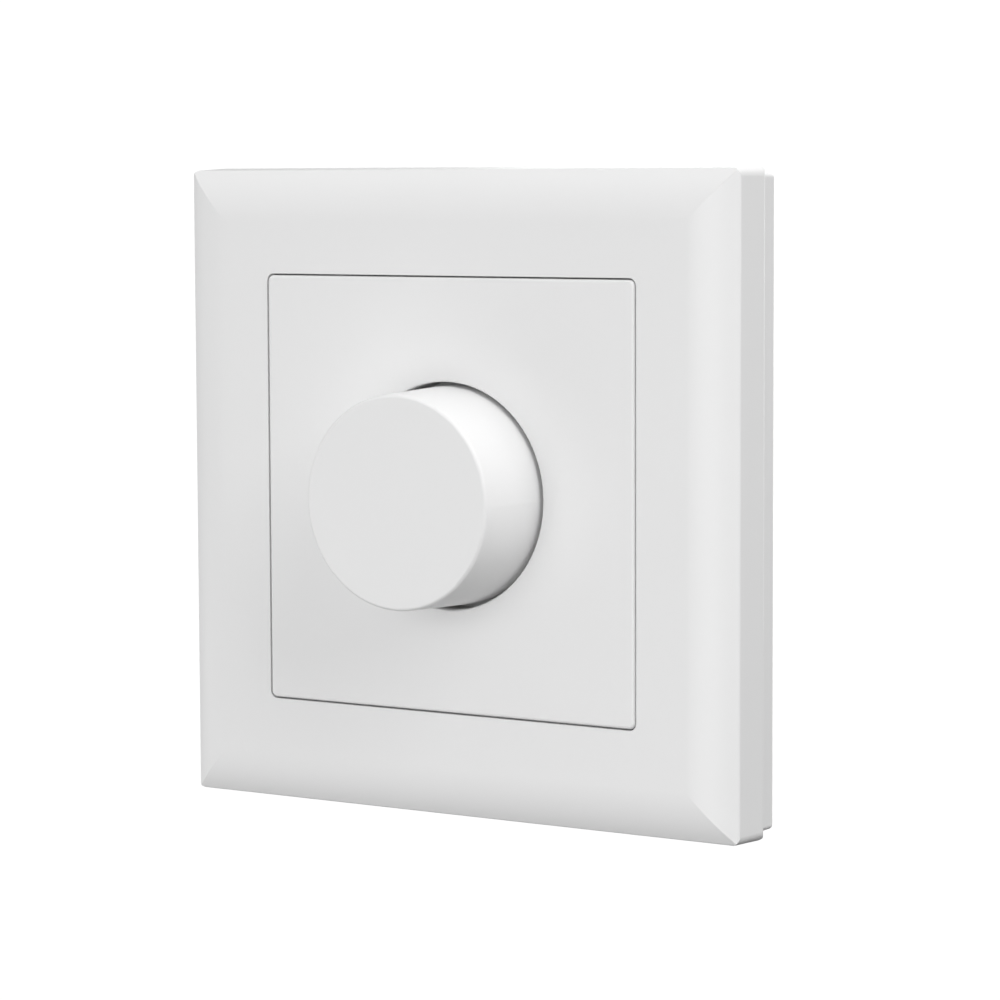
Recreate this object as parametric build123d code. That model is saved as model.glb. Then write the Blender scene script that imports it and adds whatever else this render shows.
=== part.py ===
from build123d import *

import os
from math import atan, ceil, cos, degrees, pi, radians, sqrt, tan

# Rotary push dimmer for a flush wall box, in millimetres.
#
# The wall is the plane y = 0. The room side is -Y, the wall box is +Y and +Z is up. The origin
# is the point on the wall midway between the box screws. A square cover frame on a backing
# frame, a centre plate with a round well and a turn-and-push knob face the room. Behind them
# are a steel support ring and an insert with the potentiometer, the push switch, the power
# electronics and the wire terminals.

# Running and seating clearances
SLIDE_GAP = 0.05  # a turned or sliding piece in its hole, on the radius
SEAT_GAP = 0.15  # a moulded piece in its pocket, each side
SCREW_GAP = 0.03  # a screw or a pressed piece in the hole that holds it
OVERCUT = 1.0  # how far a cutting shape runs past the face that it opens
FLAT_LIMIT = 1e-6  # how far off a plane an edge may be and still count as in it

# Support ring, stamped and folded from steel sheet; its rear face is in the wall plane
RING_WIDTH = 71.0
RING_SHEET = 1.0
RING_CORNER_CUT = 5.0
RING_FLANGE_HEIGHT = 3.0
RING_FLANGE_LENGTH = 18.0
RING_FLANGE_CENTRE = 17.0
RING_BEND_RADIUS = 0.6
BOX_SCREW_SPACING = 60.0
BOX_SLOT_LENGTH = 8.0
BOX_SLOT_WIDTH = 3.6
CLAW_WINDOW_LENGTH = 10.0
CLAW_WINDOW_WIDTH = 4.0
CLAW_WINDOW_RADIUS = 1.0
CLAW_WINDOW_X = 28.6
CLAW_WINDOW_Z = 19.0
DOVETAIL_DEPTH = 1.6
DOVETAIL_WIDTH = 6.0
DOVETAIL_NECK = 4.6
DOVETAIL_Z = 8.5

# Cover frame
FRAME_PAST_RING = 5.5
WALL_TO_FACE = 11.8
FRAME_CORNER_RADIUS = 1.3
FRAME_EDGE_RADIUS = 0.5
FRAME_SIDE_DRAFT = 0.3  # how much further out a side's rear edge is than its front edge
FRAME_REAR_RADIUS = 0.8
FRAME_WALL = 1.8
BEVEL_WIDTH = 6.0
BEVEL_DROP = 2.0
FACE_WALL = 2.0
FRAME_RIB_WIDTH = 1.0
FRAME_RIB_SPACING = 17.0
SKIRT_WALL = 1.5
LEDGE_WIDTH = 1.75
LEDGE_DEPTH = 3.2
LEDGE_WALL = 1.6
OPENING_WIDTH = 55.0
OPENING_RADIUS = 1.0

# Backing frame, the stepped-in layer between the cover frame and the wall
BACKING_HEIGHT = 3.7
BACKING_INSET = 0.9
BACKING_CORNER_RADIUS = 0.6
BACKING_EDGE_RADIUS = 0.5
BACKING_OUTER_WALL = 1.4
BACKING_INNER_WALL = 1.2
BACKING_WEB = 1.2
BACKING_RIB_WIDTH = 1.0
BACKING_RIB_SPACING = 13.0
BACKING_RIBS_PER_SIDE = 5
RING_MARGIN = 0.7
TONGUE_LENGTH = 52.0
TONGUE_HEIGHT = 2.3
TONGUE_WALL = 1.2
HOOK_LENGTH = 8.0
HOOK_HEIGHT = 1.0
HOOK_REACH = 0.35
HOOK_SPACING = 30.0
HOOK_FROM_TIP = 0.3

# Centre plate
PLATE_GAP = 0.2
PLATE_PROUD = 0.15
PLATE_WALL = 1.8
PLATE_RIM_WALL = 1.4
PLATE_RADIUS = 0.8
PLATE_EDGE_RADIUS = 0.4
WELL_CLEARANCE = 0.5
WELL_WALL = 1.4
WELL_DEPTH = 4.8
WELL_FLOOR = 1.4
WELL_EDGE_RADIUS = 0.2
PLATE_RIB_WIDTH = 1.0
PLATE_RIB_COUNT = 8

# Knob
KNOB_RADIUS = 13.8
KNOB_TAPER = 0.5
KNOB_STAND_OUT = 11.2
KNOB_INTO_WELL = 2.1
KNOB_EDGE_RADIUS = 0.45
KNOB_WALL = 1.5
KNOB_FRONT_WALL = 1.8
KNOB_RIB_COUNT = 6
KNOB_RIB_WIDTH = 1.0
KNOB_RIB_HEIGHT = 5.0
HUB_WALL = 1.1
HUB_TO_BUSHING = 1.55
HUB_SLOT_WIDTH = 1.0
HUB_SLOT_LENGTH = 3.2
CLAMP_RING_WALL = 0.5
CLAMP_RING_WIDTH = 1.6
CLAMP_RING_FROM_MOUTH = 0.8
CLAMP_RING_GAP_ANGLE = 40.0

# Shaft, its push travel and its turn each way from the middle
PUSH_TRAVEL = 1.0
TURN_EACH_WAY = 150.0
SHAFT_RADIUS = 3.0
SHAFT_FLAT = 1.9  # from the axis to the flat of the D
SHAFT_FROM_KNOB_FRONT = 1.0
SHAFT_TIP_RADIUS = 2.0
SHAFT_TIP_LENGTH = 3.4
SHAFT_CHAMFER = 0.4
CLIP_GROOVE_DEPTH = 0.5
CLIP_THICKNESS = 0.4
CLIP_OUTER_RADIUS = 4.6
CLIP_GAP_ANGLE = 70.0
CLIP_PLAY = 0.1

# Threaded bushing, nut and washer
BUSHING_RADIUS = 5.0
BUSHING_PAST_FLOOR = 3.4
BUSHING_FLANGE = 1.0
BUSHING_CHAMFER = 0.4
NUT_ACROSS_FLATS = 14.0
NUT_HEIGHT = 2.2
NUT_CHAMFER_ANGLE = 30.0
WASHER_RADIUS = 8.0
WASHER_HEIGHT = 0.5
WASHER_TOOTH_COUNT = 12
WASHER_TOOTH_GAP = 1.2
WASHER_TOOTH_LENGTH = 1.6

# Potentiometer
POT_RADIUS = 8.5
POT_MARGIN = 1.0
POT_WALL = 0.6
POT_LENGTH = 7.2
POT_REAR_WALL = 0.8
TRACK_THICKNESS = 0.8
ROTOR_DISC = 1.2
ROTOR_LENGTH = 2.4
ROTOR_HUB_WALL = 1.3
ROTOR_SLEEVE_WALL = 1.0
ROTOR_SLEEVE_GAP = 0.4
STOP_HEIGHT = 1.25
STOP_LUG_HALF_ANGLE = 10.0
STOP_PLAY_ANGLE = 2.0
WIPER_WIDTH = 1.4
WIPER_SHEET = 0.3
WIPER_GAP = 0.05

# Push switch
SWITCH_WIDTH = 11.0
SWITCH_CORNER_RADIUS = 1.0
SWITCH_LENGTH = 6.0
SWITCH_FLOOR = 0.8
PLUNGER_RADIUS = 2.6
PLUNGER_HEAD = 1.6
PLUNGER_STEM_RADIUS = 1.0
PLUNGER_STEM_LENGTH = 1.6
PLUNGER_KEY_WIDTH = 1.2
PLUNGER_KEY_REACH = 0.8
SPRING_WIRE = 0.4
SPRING_RADIUS = 1.7
SPRING_TURNS = 3.5

# Insert's moulded case and the front cover that it is screwed to
CASE_WIDTH = 48.0
CASE_HEIGHT = 46.0
CASE_DEPTH = 24.0
CASE_CORNER_CUT = 7.5
CASE_WALL = 1.6
CASE_REAR_WALL = 1.6
CASE_EDGE_RADIUS = 0.8
COVER_INSET = 1.0
COVER_HEIGHT = 2.6
COVER_WALL = 1.4
BOSS_WALL = 1.6
POST_RADIUS = 2.5
PILOT_PAST_SCREW = 1.0
SCREW_FROM_SIDE = 6.0
SCREW_FROM_TOP = 7.5
SCREW_RADIUS = 1.1
SCREW_HEAD_RADIUS = 2.1
SCREW_HEAD_HEIGHT = 1.2
SCREW_HEAD_ROUND = 0.5
SCREW_LENGTH = 9.0
SCREW_TIP = 0.7
DRIVE_WIDTH = 0.6
DRIVE_DEPTH = 0.6
DRIVE_LENGTH = 2.7
VENT_COUNT = 5
VENT_PITCH = 3.4
VENT_WIDTH = 1.4
VENT_LENGTH = 9.0
VENT_FROM_REAR = 4.5
BOARD_REST_WIDTH = 1.5
BOARD_REST_REACH = 1.2
BOARD_REST_Z = 11.0

# Heat sink and power switches
HEAT_SINK_SHEET = 1.5
PAD_SHEET = 0.3
PAD_BORDER = 0.4
POWER_SWITCH_WIDTH = 10.0
POWER_SWITCH_HEIGHT = 15.0
POWER_SWITCH_DEPTH = 4.4
POWER_SWITCH_Z = 2.0
POWER_SWITCH_HOLE_RADIUS = 1.6
POWER_SWITCH_HOLE_FROM_TOP = 2.8
LEG_WIDTH = 0.8
LEG_PITCH = 2.54
LEG_DROP = 2.0
LEG_PAST_BOARD = 0.8

# Circuit board and what stands on its rear face
BOARD_THICKNESS = 1.6
BOARD_GAP = 0.3
CHOKE_FROM_SIDE = 4.9
CHOKE_Z = 7.0
CHOKE_BORE_RADIUS = 4.5
CHOKE_RADIUS = 8.6
CHOKE_HEIGHT = 6.0
CHOKE_WIRE = 0.9
CHOKE_PITCH_IN_BORE = 0.84
FILTER_CAP_FROM_SIDE = 6.9
FILTER_CAP_FROM_CHOKE = 2.0
FILTER_CAP_FROM_REAR = 1.8
FILTER_CAP_Z = 9.0
FILTER_CAP_HEIGHT = 10.0
FILTER_CAP_EDGE = 0.6
CAN_FROM_SIDE = 2.9
CAN_FROM_REAR = 1.8
CAN_Z = -2.0
CAN_RADIUS = 4.0
CAN_BEAD = 0.4
CAN_BEAD_FROM_BOARD = 1.2
FUSE_X = 1.5
FUSE_Z = -6.2
FUSE_ABOVE_BOARD = 3.6
FUSE_LENGTH = 20.0
FUSE_RADIUS = 2.5
FUSE_GLASS_WALL = 0.6
FUSE_CAP_LENGTH = 5.0
FUSE_CAP_WALL = 0.3
FUSE_CLIP_SHEET = 0.4
FUSE_CLIP_WIDTH = 3.0
FUSE_CLIP_GAP_ANGLE = 130.0

# Wire terminals
TERMINAL_COUNT = 3
TERMINAL_BLOCK_FROM_POST = 2.0
TERMINAL_BLOCK_HEIGHT = 8.6
TERMINAL_BLOCK_FROM_WALL = 0.9
TERMINAL_BLOCK_END_WALL = 0.6
CAGE_WIDTH = 6.6
CAGE_HEIGHT = 6.6
CAGE_LENGTH = 7.0
CAGE_WALL = 1.2
WIRE_ENTRY = 3.8
WIRE_FUNNEL = 0.8
TERMINAL_SCREW_RADIUS = 1.5
TERMINAL_SCREW_HEAD_RADIUS = 2.0
TERMINAL_SCREW_HEAD_HEIGHT = 1.0
TERMINAL_SCREW_LIFT = 0.3

# Depths that follow, from the room side to the wall box
FACE_Y = -WALL_TO_FACE
SIDE_FRONT_Y = FACE_Y + BEVEL_DROP
FRAME_REAR_Y = -BACKING_HEIGHT
LEDGE_Y = FACE_Y + LEDGE_DEPTH
LEDGE_REAR_Y = LEDGE_Y + LEDGE_WALL
PLATE_FACE_Y = FACE_Y - PLATE_PROUD
WELL_FLOOR_Y = FACE_Y + WELL_DEPTH
BOSS_FRONT_Y = WELL_FLOOR_Y + WELL_FLOOR
BOSS_INNER_Y = BOSS_FRONT_Y + COVER_WALL
COVER_FRONT_Y = -RING_SHEET - COVER_HEIGHT
BUSHING_FRONT_Y = WELL_FLOOR_Y - BUSHING_PAST_FLOOR
KNOB_FRONT_Y = PLATE_FACE_Y - KNOB_STAND_OUT
KNOB_INNER_Y = KNOB_FRONT_Y + KNOB_FRONT_WALL
KNOB_BASE_Y = PLATE_FACE_Y + KNOB_INTO_WELL
HUB_MOUTH_Y = BUSHING_FRONT_Y - PUSH_TRAVEL - HUB_TO_BUSHING
POT_FRONT_Y = BOSS_INNER_Y + BUSHING_FLANGE
POT_REAR_Y = POT_FRONT_Y + POT_LENGTH
POT_FLOOR_Y = POT_REAR_Y - POT_REAR_WALL
TRACK_Y = POT_FLOOR_Y - TRACK_THICKNESS
CLIP_Y = POT_FRONT_Y + CLIP_PLAY
ROTOR_FRONT_Y = CLIP_Y + CLIP_THICKNESS + PUSH_TRAVEL + CLIP_PLAY
ROTOR_REAR_Y = ROTOR_FRONT_Y + ROTOR_LENGTH
SHAFT_FRONT_Y = KNOB_INNER_Y + SHAFT_FROM_KNOB_FRONT
SHAFT_SHOULDER_Y = TRACK_Y - PUSH_TRAVEL - 2 * CLIP_PLAY
SHAFT_END_Y = SHAFT_SHOULDER_Y + SHAFT_TIP_LENGTH
PLUNGER_REAR_Y = SHAFT_END_Y + PLUNGER_HEAD
SWITCH_REAR_Y = POT_REAR_Y + SWITCH_LENGTH
SWITCH_FLOOR_Y = SWITCH_REAR_Y - SWITCH_FLOOR
BOARD_REAR_Y = SWITCH_REAR_Y + BOARD_THICKNESS
CASE_INNER_REAR_Y = CASE_DEPTH - CASE_REAR_WALL
POWER_SWITCH_Y = HEAT_SINK_SHEET + PAD_SHEET
CHOKE_FRONT_Y = BOARD_REAR_Y + CHOKE_WIRE + SCREW_GAP
TERMINAL_REAR_Y = CASE_INNER_REAR_Y - SEAT_GAP
TERMINAL_SCREW_Y = TERMINAL_REAR_Y - CAGE_LENGTH / 2

# Widths, radii and places that follow
CASE_INNER_X = CASE_WIDTH / 2 - CASE_WALL
FRAME_WIDTH = RING_WIDTH + 2 * FRAME_PAST_RING
SIDE_FRONT_X = FRAME_WIDTH / 2 - FRAME_SIDE_DRAFT
BEVEL_START_X = SIDE_FRONT_X - BEVEL_WIDTH
CAVITY_HALF = FRAME_WIDTH / 2 - FRAME_WALL
SKIRT_WIDTH = OPENING_WIDTH + 2 * SKIRT_WALL
TONGUE_HALF = CAVITY_HALF - SEAT_GAP
BACKING_WIDTH = FRAME_WIDTH - 2 * BACKING_INSET
BACKING_OPENING = RING_WIDTH + 2 * RING_MARGIN
PLATE_WIDTH = OPENING_WIDTH - 2 * PLATE_GAP
WELL_RADIUS = KNOB_RADIUS + WELL_CLEARANCE
HUB_RADIUS = SHAFT_RADIUS + HUB_WALL
POT_INNER_RADIUS = POT_RADIUS - POT_WALL
ROTOR_RADIUS = POT_INNER_RADIUS - SEAT_GAP - STOP_HEIGHT
POWER_SWITCH_X = (POT_RADIUS + CASE_INNER_X) / 2
FOOT_Z = POWER_SWITCH_Z - POWER_SWITCH_HEIGHT / 2 - LEG_DROP
TERMINAL_Z = TERMINAL_BLOCK_FROM_WALL + TERMINAL_BLOCK_HEIGHT / 2 + CASE_WALL - CASE_HEIGHT / 2
SCREW_X = CASE_WIDTH / 2 - SCREW_FROM_SIDE
SCREW_Z = CASE_HEIGHT / 2 - SCREW_FROM_TOP
SCREW_PLACES = [(x, z) for x in (-SCREW_X, SCREW_X) for z in (-SCREW_Z, SCREW_Z)]
CHAMBER_WIDTH = CAGE_WIDTH + 2 * SEAT_GAP
TERMINAL_BLOCK_WIDTH = 2 * (SCREW_X - POST_RADIUS - TERMINAL_BLOCK_FROM_POST)
TERMINAL_SPAN = TERMINAL_BLOCK_WIDTH - 2 * TERMINAL_BLOCK_END_WALL - CHAMBER_WIDTH
TERMINAL_XS = [TERMINAL_SPAN * (i / (TERMINAL_COUNT - 1) - 0.5) for i in range(TERMINAL_COUNT)]
CHOKE_OUTSIDE = CHOKE_RADIUS + SCREW_GAP + CHOKE_WIRE
CHOKE_CENTRE = (CASE_INNER_X - CHOKE_FROM_SIDE - CHOKE_OUTSIDE, CHOKE_Z)
FILTER_CAP_LEFT_X = FILTER_CAP_FROM_SIDE - CASE_INNER_X
FILTER_CAP_RIGHT_X = CHOKE_CENTRE[0] - CHOKE_OUTSIDE - FILTER_CAP_FROM_CHOKE
FILTER_CAP_CENTRE = ((FILTER_CAP_LEFT_X + FILTER_CAP_RIGHT_X) / 2, FILTER_CAP_Z)
CAN_CENTRE = (CAN_FROM_SIDE + CAN_RADIUS - CASE_INNER_X, CAN_Z)


def slab(outline, y_front, y_rear):
    """A flat outline, drawn with x to the right and z up, filled from y_front back to y_rear."""
    return extrude(Plane.XZ.offset(-y_rear) * outline, y_rear - y_front)


def disc(radius, y_front, y_rear):
    """A round bar or cutter on the y axis."""
    return slab(Circle(radius), y_front, y_rear)


def turned(points):
    """A profile of (radius, y) points turned about the y axis."""
    return revolve(make_face(Polyline(*points, close=True)), Axis.Y)


def moved(shape, place):
    """The shape moved to place = (x, z)."""
    return Pos(place[0], 0, place[1]) * shape


def at_places(outline, places):
    """Copies of a flat outline at each (x, z) place."""
    return [Pos(*place) * outline for place in places]


def four_sides(shape):
    """The same shape at each side of a square, turned about the y axis."""
    return [Rot(0, 90 * side, 0) * shape for side in range(4)]


def rim_at(body, y):
    """The edges of a body that lie wholly in the plane at y."""
    flat_edges = body.edges().filter_by(lambda edge: edge.bounding_box().size.Y < FLAT_LIMIT)
    return flat_edges.filter_by(lambda edge: abs(edge.center().Y - y) < FLAT_LIMIT)


def upward_wedge(radius, half_angle):
    """A flat triangle with its point at the centre that covers a circle's top, half_angle each way."""
    half_width = radius * tan(radians(half_angle))
    return make_face(Polyline((0, 0), (half_width, radius), (-half_width, radius), close=True))


def open_ring(inner_radius, outer_radius, gap_angle):
    """A flat C that is open at the top by gap_angle."""
    return Circle(outer_radius) - Circle(inner_radius) - upward_wedge(outer_radius, gap_angle / 2)


def d_outline(radius, flat):
    """A circle with one flat, as on a D shaft; the flat faces up."""
    return Circle(radius) & Pos(0, flat - radius) * Rectangle(2 * radius, 2 * radius)


def frame_section():
    """The cover frame's section from side to side: flat face, rounded bevels, sides and rear edges."""
    half = FRAME_WIDTH / 2
    bevel_start = (BEVEL_START_X, FACE_Y)
    bevel_end = (SIDE_FRONT_X, SIDE_FRONT_Y)
    bevel = TangentArc(bevel_start, bevel_end, tangent=(1, 0))
    rest = Polyline(bevel_end, (half, FRAME_REAR_Y), (0, FRAME_REAR_Y), (0, FACE_Y), bevel_start)
    section = make_face(bevel + rest)
    front_corner = section.vertices().sort_by_distance(bevel_end)[0]
    section = fillet(front_corner, FRAME_EDGE_RADIUS)
    rear_corner = section.vertices().sort_by_distance((half, FRAME_REAR_Y))[0]
    section = fillet(rear_corner, FRAME_REAR_RADIUS)
    return section + mirror(section, Plane.YZ)


def frame_hollow_section():
    """The section of the hollow behind the face and the bevels."""
    points = [
        (0, FRAME_REAR_Y + OVERCUT),
        (CAVITY_HALF, FRAME_REAR_Y + OVERCUT),
        (CAVITY_HALF, SIDE_FRONT_Y + FRAME_WALL),
        (BEVEL_START_X, FACE_Y + FACE_WALL),
        (0, FACE_Y + FACE_WALL),
    ]
    half = make_face(Polyline(*points, close=True))
    return half + mirror(half, Plane.YZ)


def mitred_square(section):
    """A square block with that section both ways: an upright and a level bar, and what they share."""
    upright = extrude(section, FRAME_WIDTH, both=True)
    return upright & (Rot(0, 90, 0) * upright)


def cover_frame():
    """The visible frame, one moulding: bevels mitred at the corners and a skirt with the plate's ledge."""
    outside = mitred_square(frame_section())
    plan = RectangleRounded(FRAME_WIDTH, FRAME_WIDTH, FRAME_CORNER_RADIUS)
    draft_angle = degrees(atan(FRAME_SIDE_DRAFT / (FRAME_REAR_Y - SIDE_FRONT_Y)))
    length = FRAME_REAR_Y - FACE_Y + OVERCUT
    outside &= extrude(Plane.XZ.offset(-FRAME_REAR_Y) * plan, length, taper=draft_angle)
    skirt = RectangleRounded(SKIRT_WIDTH, SKIRT_WIDTH, OPENING_RADIUS + SKIRT_WALL)
    body = outside - (mitred_square(frame_hollow_section()) - slab(skirt, FACE_Y, LEDGE_REAR_Y))

    rib_start = OPENING_WIDTH / 2 + SKIRT_WALL / 2
    rib_end = CAVITY_HALF + FRAME_WALL / 2
    rib_outline = Pos((rib_start + rib_end) / 2, 0) * Rectangle(rib_end - rib_start, FRAME_RIB_WIDTH)
    rib_rear_y = FRAME_REAR_Y - TONGUE_HEIGHT - SEAT_GAP
    ribs = Part()
    for z in (-FRAME_RIB_SPACING, 0, FRAME_RIB_SPACING):
        ribs += four_sides(slab(Pos(0, z) * rib_outline, FACE_Y + FACE_WALL / 2, rib_rear_y))
    body += ribs & outside

    ledge_opening = OPENING_WIDTH - 2 * LEDGE_WIDTH
    opening = RectangleRounded(OPENING_WIDTH, OPENING_WIDTH, OPENING_RADIUS)
    body -= slab(opening, FACE_Y - OVERCUT, LEDGE_Y)
    body -= slab(RectangleRounded(ledge_opening, ledge_opening, OPENING_RADIUS), LEDGE_Y - OVERCUT, OVERCUT)

    groove_y = FRAME_REAR_Y - TONGUE_HEIGHT + HOOK_FROM_TIP - SEAT_GAP
    groove = Rectangle(2 * (HOOK_REACH + SEAT_GAP), HOOK_LENGTH + 2 * SEAT_GAP)
    for z in (-HOOK_SPACING / 2, HOOK_SPACING / 2):
        at_side = Pos(CAVITY_HALF, z) * groove
        body -= four_sides(slab(at_side, groove_y, groove_y + HOOK_HEIGHT + 2 * SEAT_GAP))
    return body


def backing_frame():
    """The moulded frame on the wall: a ribbed channel open to the wall, with snap tongues in front."""
    body = slab(RectangleRounded(BACKING_WIDTH, BACKING_WIDTH, BACKING_CORNER_RADIUS), FRAME_REAR_Y, 0)
    body = fillet(rim_at(body, 0), BACKING_EDGE_RADIUS)
    body -= slab(Rectangle(BACKING_OPENING, BACKING_OPENING), FRAME_REAR_Y - OVERCUT, OVERCUT)
    channel_outer = BACKING_WIDTH - 2 * BACKING_OUTER_WALL
    channel_inner = BACKING_OPENING + 2 * BACKING_INNER_WALL
    channel = Rectangle(channel_outer, channel_outer) - Rectangle(channel_inner, channel_inner)
    body -= slab(channel, FRAME_REAR_Y + BACKING_WEB, OVERCUT)

    rib_start = channel_inner / 2 - BACKING_INNER_WALL / 2
    rib_end = channel_outer / 2 + BACKING_OUTER_WALL / 2
    rib_outline = Pos((rib_start + rib_end) / 2, 0) * Rectangle(rib_end - rib_start, BACKING_RIB_WIDTH)
    web_middle_y = FRAME_REAR_Y + BACKING_WEB / 2
    for i in range(BACKING_RIBS_PER_SIDE):
        z = (i - (BACKING_RIBS_PER_SIDE - 1) / 2) * BACKING_RIB_SPACING
        body += four_sides(slab(Pos(0, z) * rib_outline, web_middle_y, -BACKING_EDGE_RADIUS))

    tip_y = FRAME_REAR_Y - TONGUE_HEIGHT
    root_x = TONGUE_HALF - TONGUE_WALL
    tongue = Pos(root_x + TONGUE_WALL / 2, 0) * Rectangle(TONGUE_WALL, TONGUE_LENGTH)
    body += four_sides(slab(tongue, tip_y, web_middle_y))
    hook_y = tip_y + HOOK_FROM_TIP
    hook_profile = [
        (root_x, hook_y),
        (TONGUE_HALF, hook_y),
        (TONGUE_HALF + SEAT_GAP + HOOK_REACH, hook_y + HOOK_HEIGHT),
        (root_x, hook_y + HOOK_HEIGHT),
    ]
    hook = extrude(make_face(Polyline(*hook_profile, close=True)), HOOK_LENGTH / 2, both=True)
    for z in (-HOOK_SPACING / 2, HOOK_SPACING / 2):
        body += four_sides(Pos(0, 0, z) * hook)
    return body


def centre_plate():
    """A square cap whose rim stands on the frame's ledge, with a round well for the knob's foot."""
    body = slab(RectangleRounded(PLATE_WIDTH, PLATE_WIDTH, PLATE_RADIUS), PLATE_FACE_Y, LEDGE_Y)
    body = fillet(rim_at(body, PLATE_FACE_Y), PLATE_EDGE_RADIUS)
    hollow_width = PLATE_WIDTH - 2 * PLATE_RIM_WALL
    skin_rear_y = PLATE_FACE_Y + PLATE_WALL
    body -= slab(Rectangle(hollow_width, hollow_width), skin_rear_y, LEDGE_Y + OVERCUT)

    body += disc(WELL_RADIUS + WELL_WALL, skin_rear_y - PLATE_WALL / 2, BOSS_FRONT_Y)
    rib_end = PLATE_WIDTH / 2 - PLATE_RIM_WALL / 2
    rib_outline = Pos(rib_end / 2, 0) * Rectangle(rib_end, PLATE_RIB_WIDTH)
    rib = slab(rib_outline, skin_rear_y - PLATE_WALL / 2, LEDGE_Y - SEAT_GAP)
    body += [Rot(0, 360 / PLATE_RIB_COUNT * i, 0) * rib for i in range(PLATE_RIB_COUNT)]

    well = disc(WELL_RADIUS, PLATE_FACE_Y, WELL_FLOOR_Y)
    body -= well
    well_mouth = rim_at(body, PLATE_FACE_Y).filter_by(GeomType.CIRCLE).sort_by(SortBy.LENGTH)[-1]
    body = fillet(well_mouth, WELL_EDGE_RADIUS)
    return body - disc(BUSHING_RADIUS + SEAT_GAP, WELL_FLOOR_Y - OVERCUT, BOSS_FRONT_Y + OVERCUT)


def knob():
    """A round cap with a slight taper, hollow behind, with a ribbed hub bored for a D shaft."""
    front_radius = KNOB_RADIUS - KNOB_TAPER
    shell = make_face(
        Polyline(
            (0, KNOB_FRONT_Y),
            (front_radius, KNOB_FRONT_Y),
            (KNOB_RADIUS, KNOB_BASE_Y),
            (KNOB_RADIUS - KNOB_WALL, KNOB_BASE_Y),
            (front_radius - KNOB_WALL, KNOB_INNER_Y),
            (0, KNOB_INNER_Y),
            close=True,
        )
    )
    front_edge = shell.vertices().sort_by_distance((front_radius, KNOB_FRONT_Y))[0]
    body = revolve(fillet(front_edge, KNOB_EDGE_RADIUS), Axis.Y)
    root_y = KNOB_INNER_Y - KNOB_FRONT_WALL / 2
    body += disc(HUB_RADIUS, root_y, HUB_MOUTH_Y)
    rib_end = front_radius - KNOB_WALL / 2
    rib_outline = Pos(rib_end / 2, 0) * Rectangle(rib_end, KNOB_RIB_WIDTH)
    rib = slab(rib_outline, root_y, KNOB_INNER_Y + KNOB_RIB_HEIGHT)
    body += [Rot(0, 360 / KNOB_RIB_COUNT * i, 0) * rib for i in range(KNOB_RIB_COUNT)]

    bore_outline = d_outline(SHAFT_RADIUS + SLIDE_GAP, SHAFT_FLAT + SLIDE_GAP)
    body -= slab(bore_outline, SHAFT_FRONT_Y - SEAT_GAP, HUB_MOUTH_Y + OVERCUT)
    slot_outline = Rectangle(2 * HUB_RADIUS + OVERCUT, HUB_SLOT_WIDTH)
    return body - slab(slot_outline, HUB_MOUTH_Y - HUB_SLOT_LENGTH, HUB_MOUTH_Y + OVERCUT)


def knob_clamp_ring():
    """The open spring ring that closes the slotted hub on the shaft."""
    outline = open_ring(HUB_RADIUS + SCREW_GAP, HUB_RADIUS + CLAMP_RING_WALL, CLAMP_RING_GAP_ANGLE)
    rear_y = HUB_MOUTH_Y - CLAMP_RING_FROM_MOUTH
    return slab(outline, rear_y - CLAMP_RING_WIDTH, rear_y)


def shaft():
    """The turned shaft: a D for the knob, a round bearing, a clip groove, a D for the rotor and a tip."""
    groove_radius = SHAFT_RADIUS - CLIP_GROOVE_DEPTH
    groove_rear_y = CLIP_Y + CLIP_THICKNESS
    body = turned(
        [
            (0, SHAFT_FRONT_Y),
            (SHAFT_RADIUS - SHAFT_CHAMFER, SHAFT_FRONT_Y),
            (SHAFT_RADIUS, SHAFT_FRONT_Y + SHAFT_CHAMFER),
            (SHAFT_RADIUS, CLIP_Y),
            (groove_radius, CLIP_Y),
            (groove_radius, groove_rear_y),
            (SHAFT_RADIUS, groove_rear_y),
            (SHAFT_RADIUS, SHAFT_SHOULDER_Y),
            (SHAFT_TIP_RADIUS, SHAFT_SHOULDER_Y),
            (SHAFT_TIP_RADIUS, SHAFT_END_Y),
            (0, SHAFT_END_Y),
        ]
    )
    above_flat = Pos(0, SHAFT_FLAT + SHAFT_RADIUS) * Rectangle(4 * SHAFT_RADIUS, 2 * SHAFT_RADIUS)
    body -= slab(above_flat, SHAFT_FRONT_Y - OVERCUT, HUB_MOUTH_Y)
    return body - slab(above_flat, groove_rear_y, SHAFT_END_Y + OVERCUT)


def shaft_clip():
    """The spring clip in the shaft's groove, which stops the shaft from being pulled out."""
    inner_radius = SHAFT_RADIUS - CLIP_GROOVE_DEPTH + SCREW_GAP
    outline = open_ring(inner_radius, CLIP_OUTER_RADIUS, CLIP_GAP_ANGLE)
    return slab(outline, CLIP_Y + SCREW_GAP, CLIP_Y + CLIP_THICKNESS - SCREW_GAP)


def threaded_bushing():
    """The brass bushing that guides the shaft and takes the nut, with its flange behind the cover."""
    bore = SHAFT_RADIUS + SLIDE_GAP
    return turned(
        [
            (bore, BUSHING_FRONT_Y),
            (BUSHING_RADIUS - BUSHING_CHAMFER, BUSHING_FRONT_Y),
            (BUSHING_RADIUS, BUSHING_FRONT_Y + BUSHING_CHAMFER),
            (BUSHING_RADIUS, BOSS_INNER_Y),
            (POT_RADIUS, BOSS_INNER_Y),
            (POT_RADIUS, POT_FRONT_Y),
            (bore, POT_FRONT_Y),
        ]
    )


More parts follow.
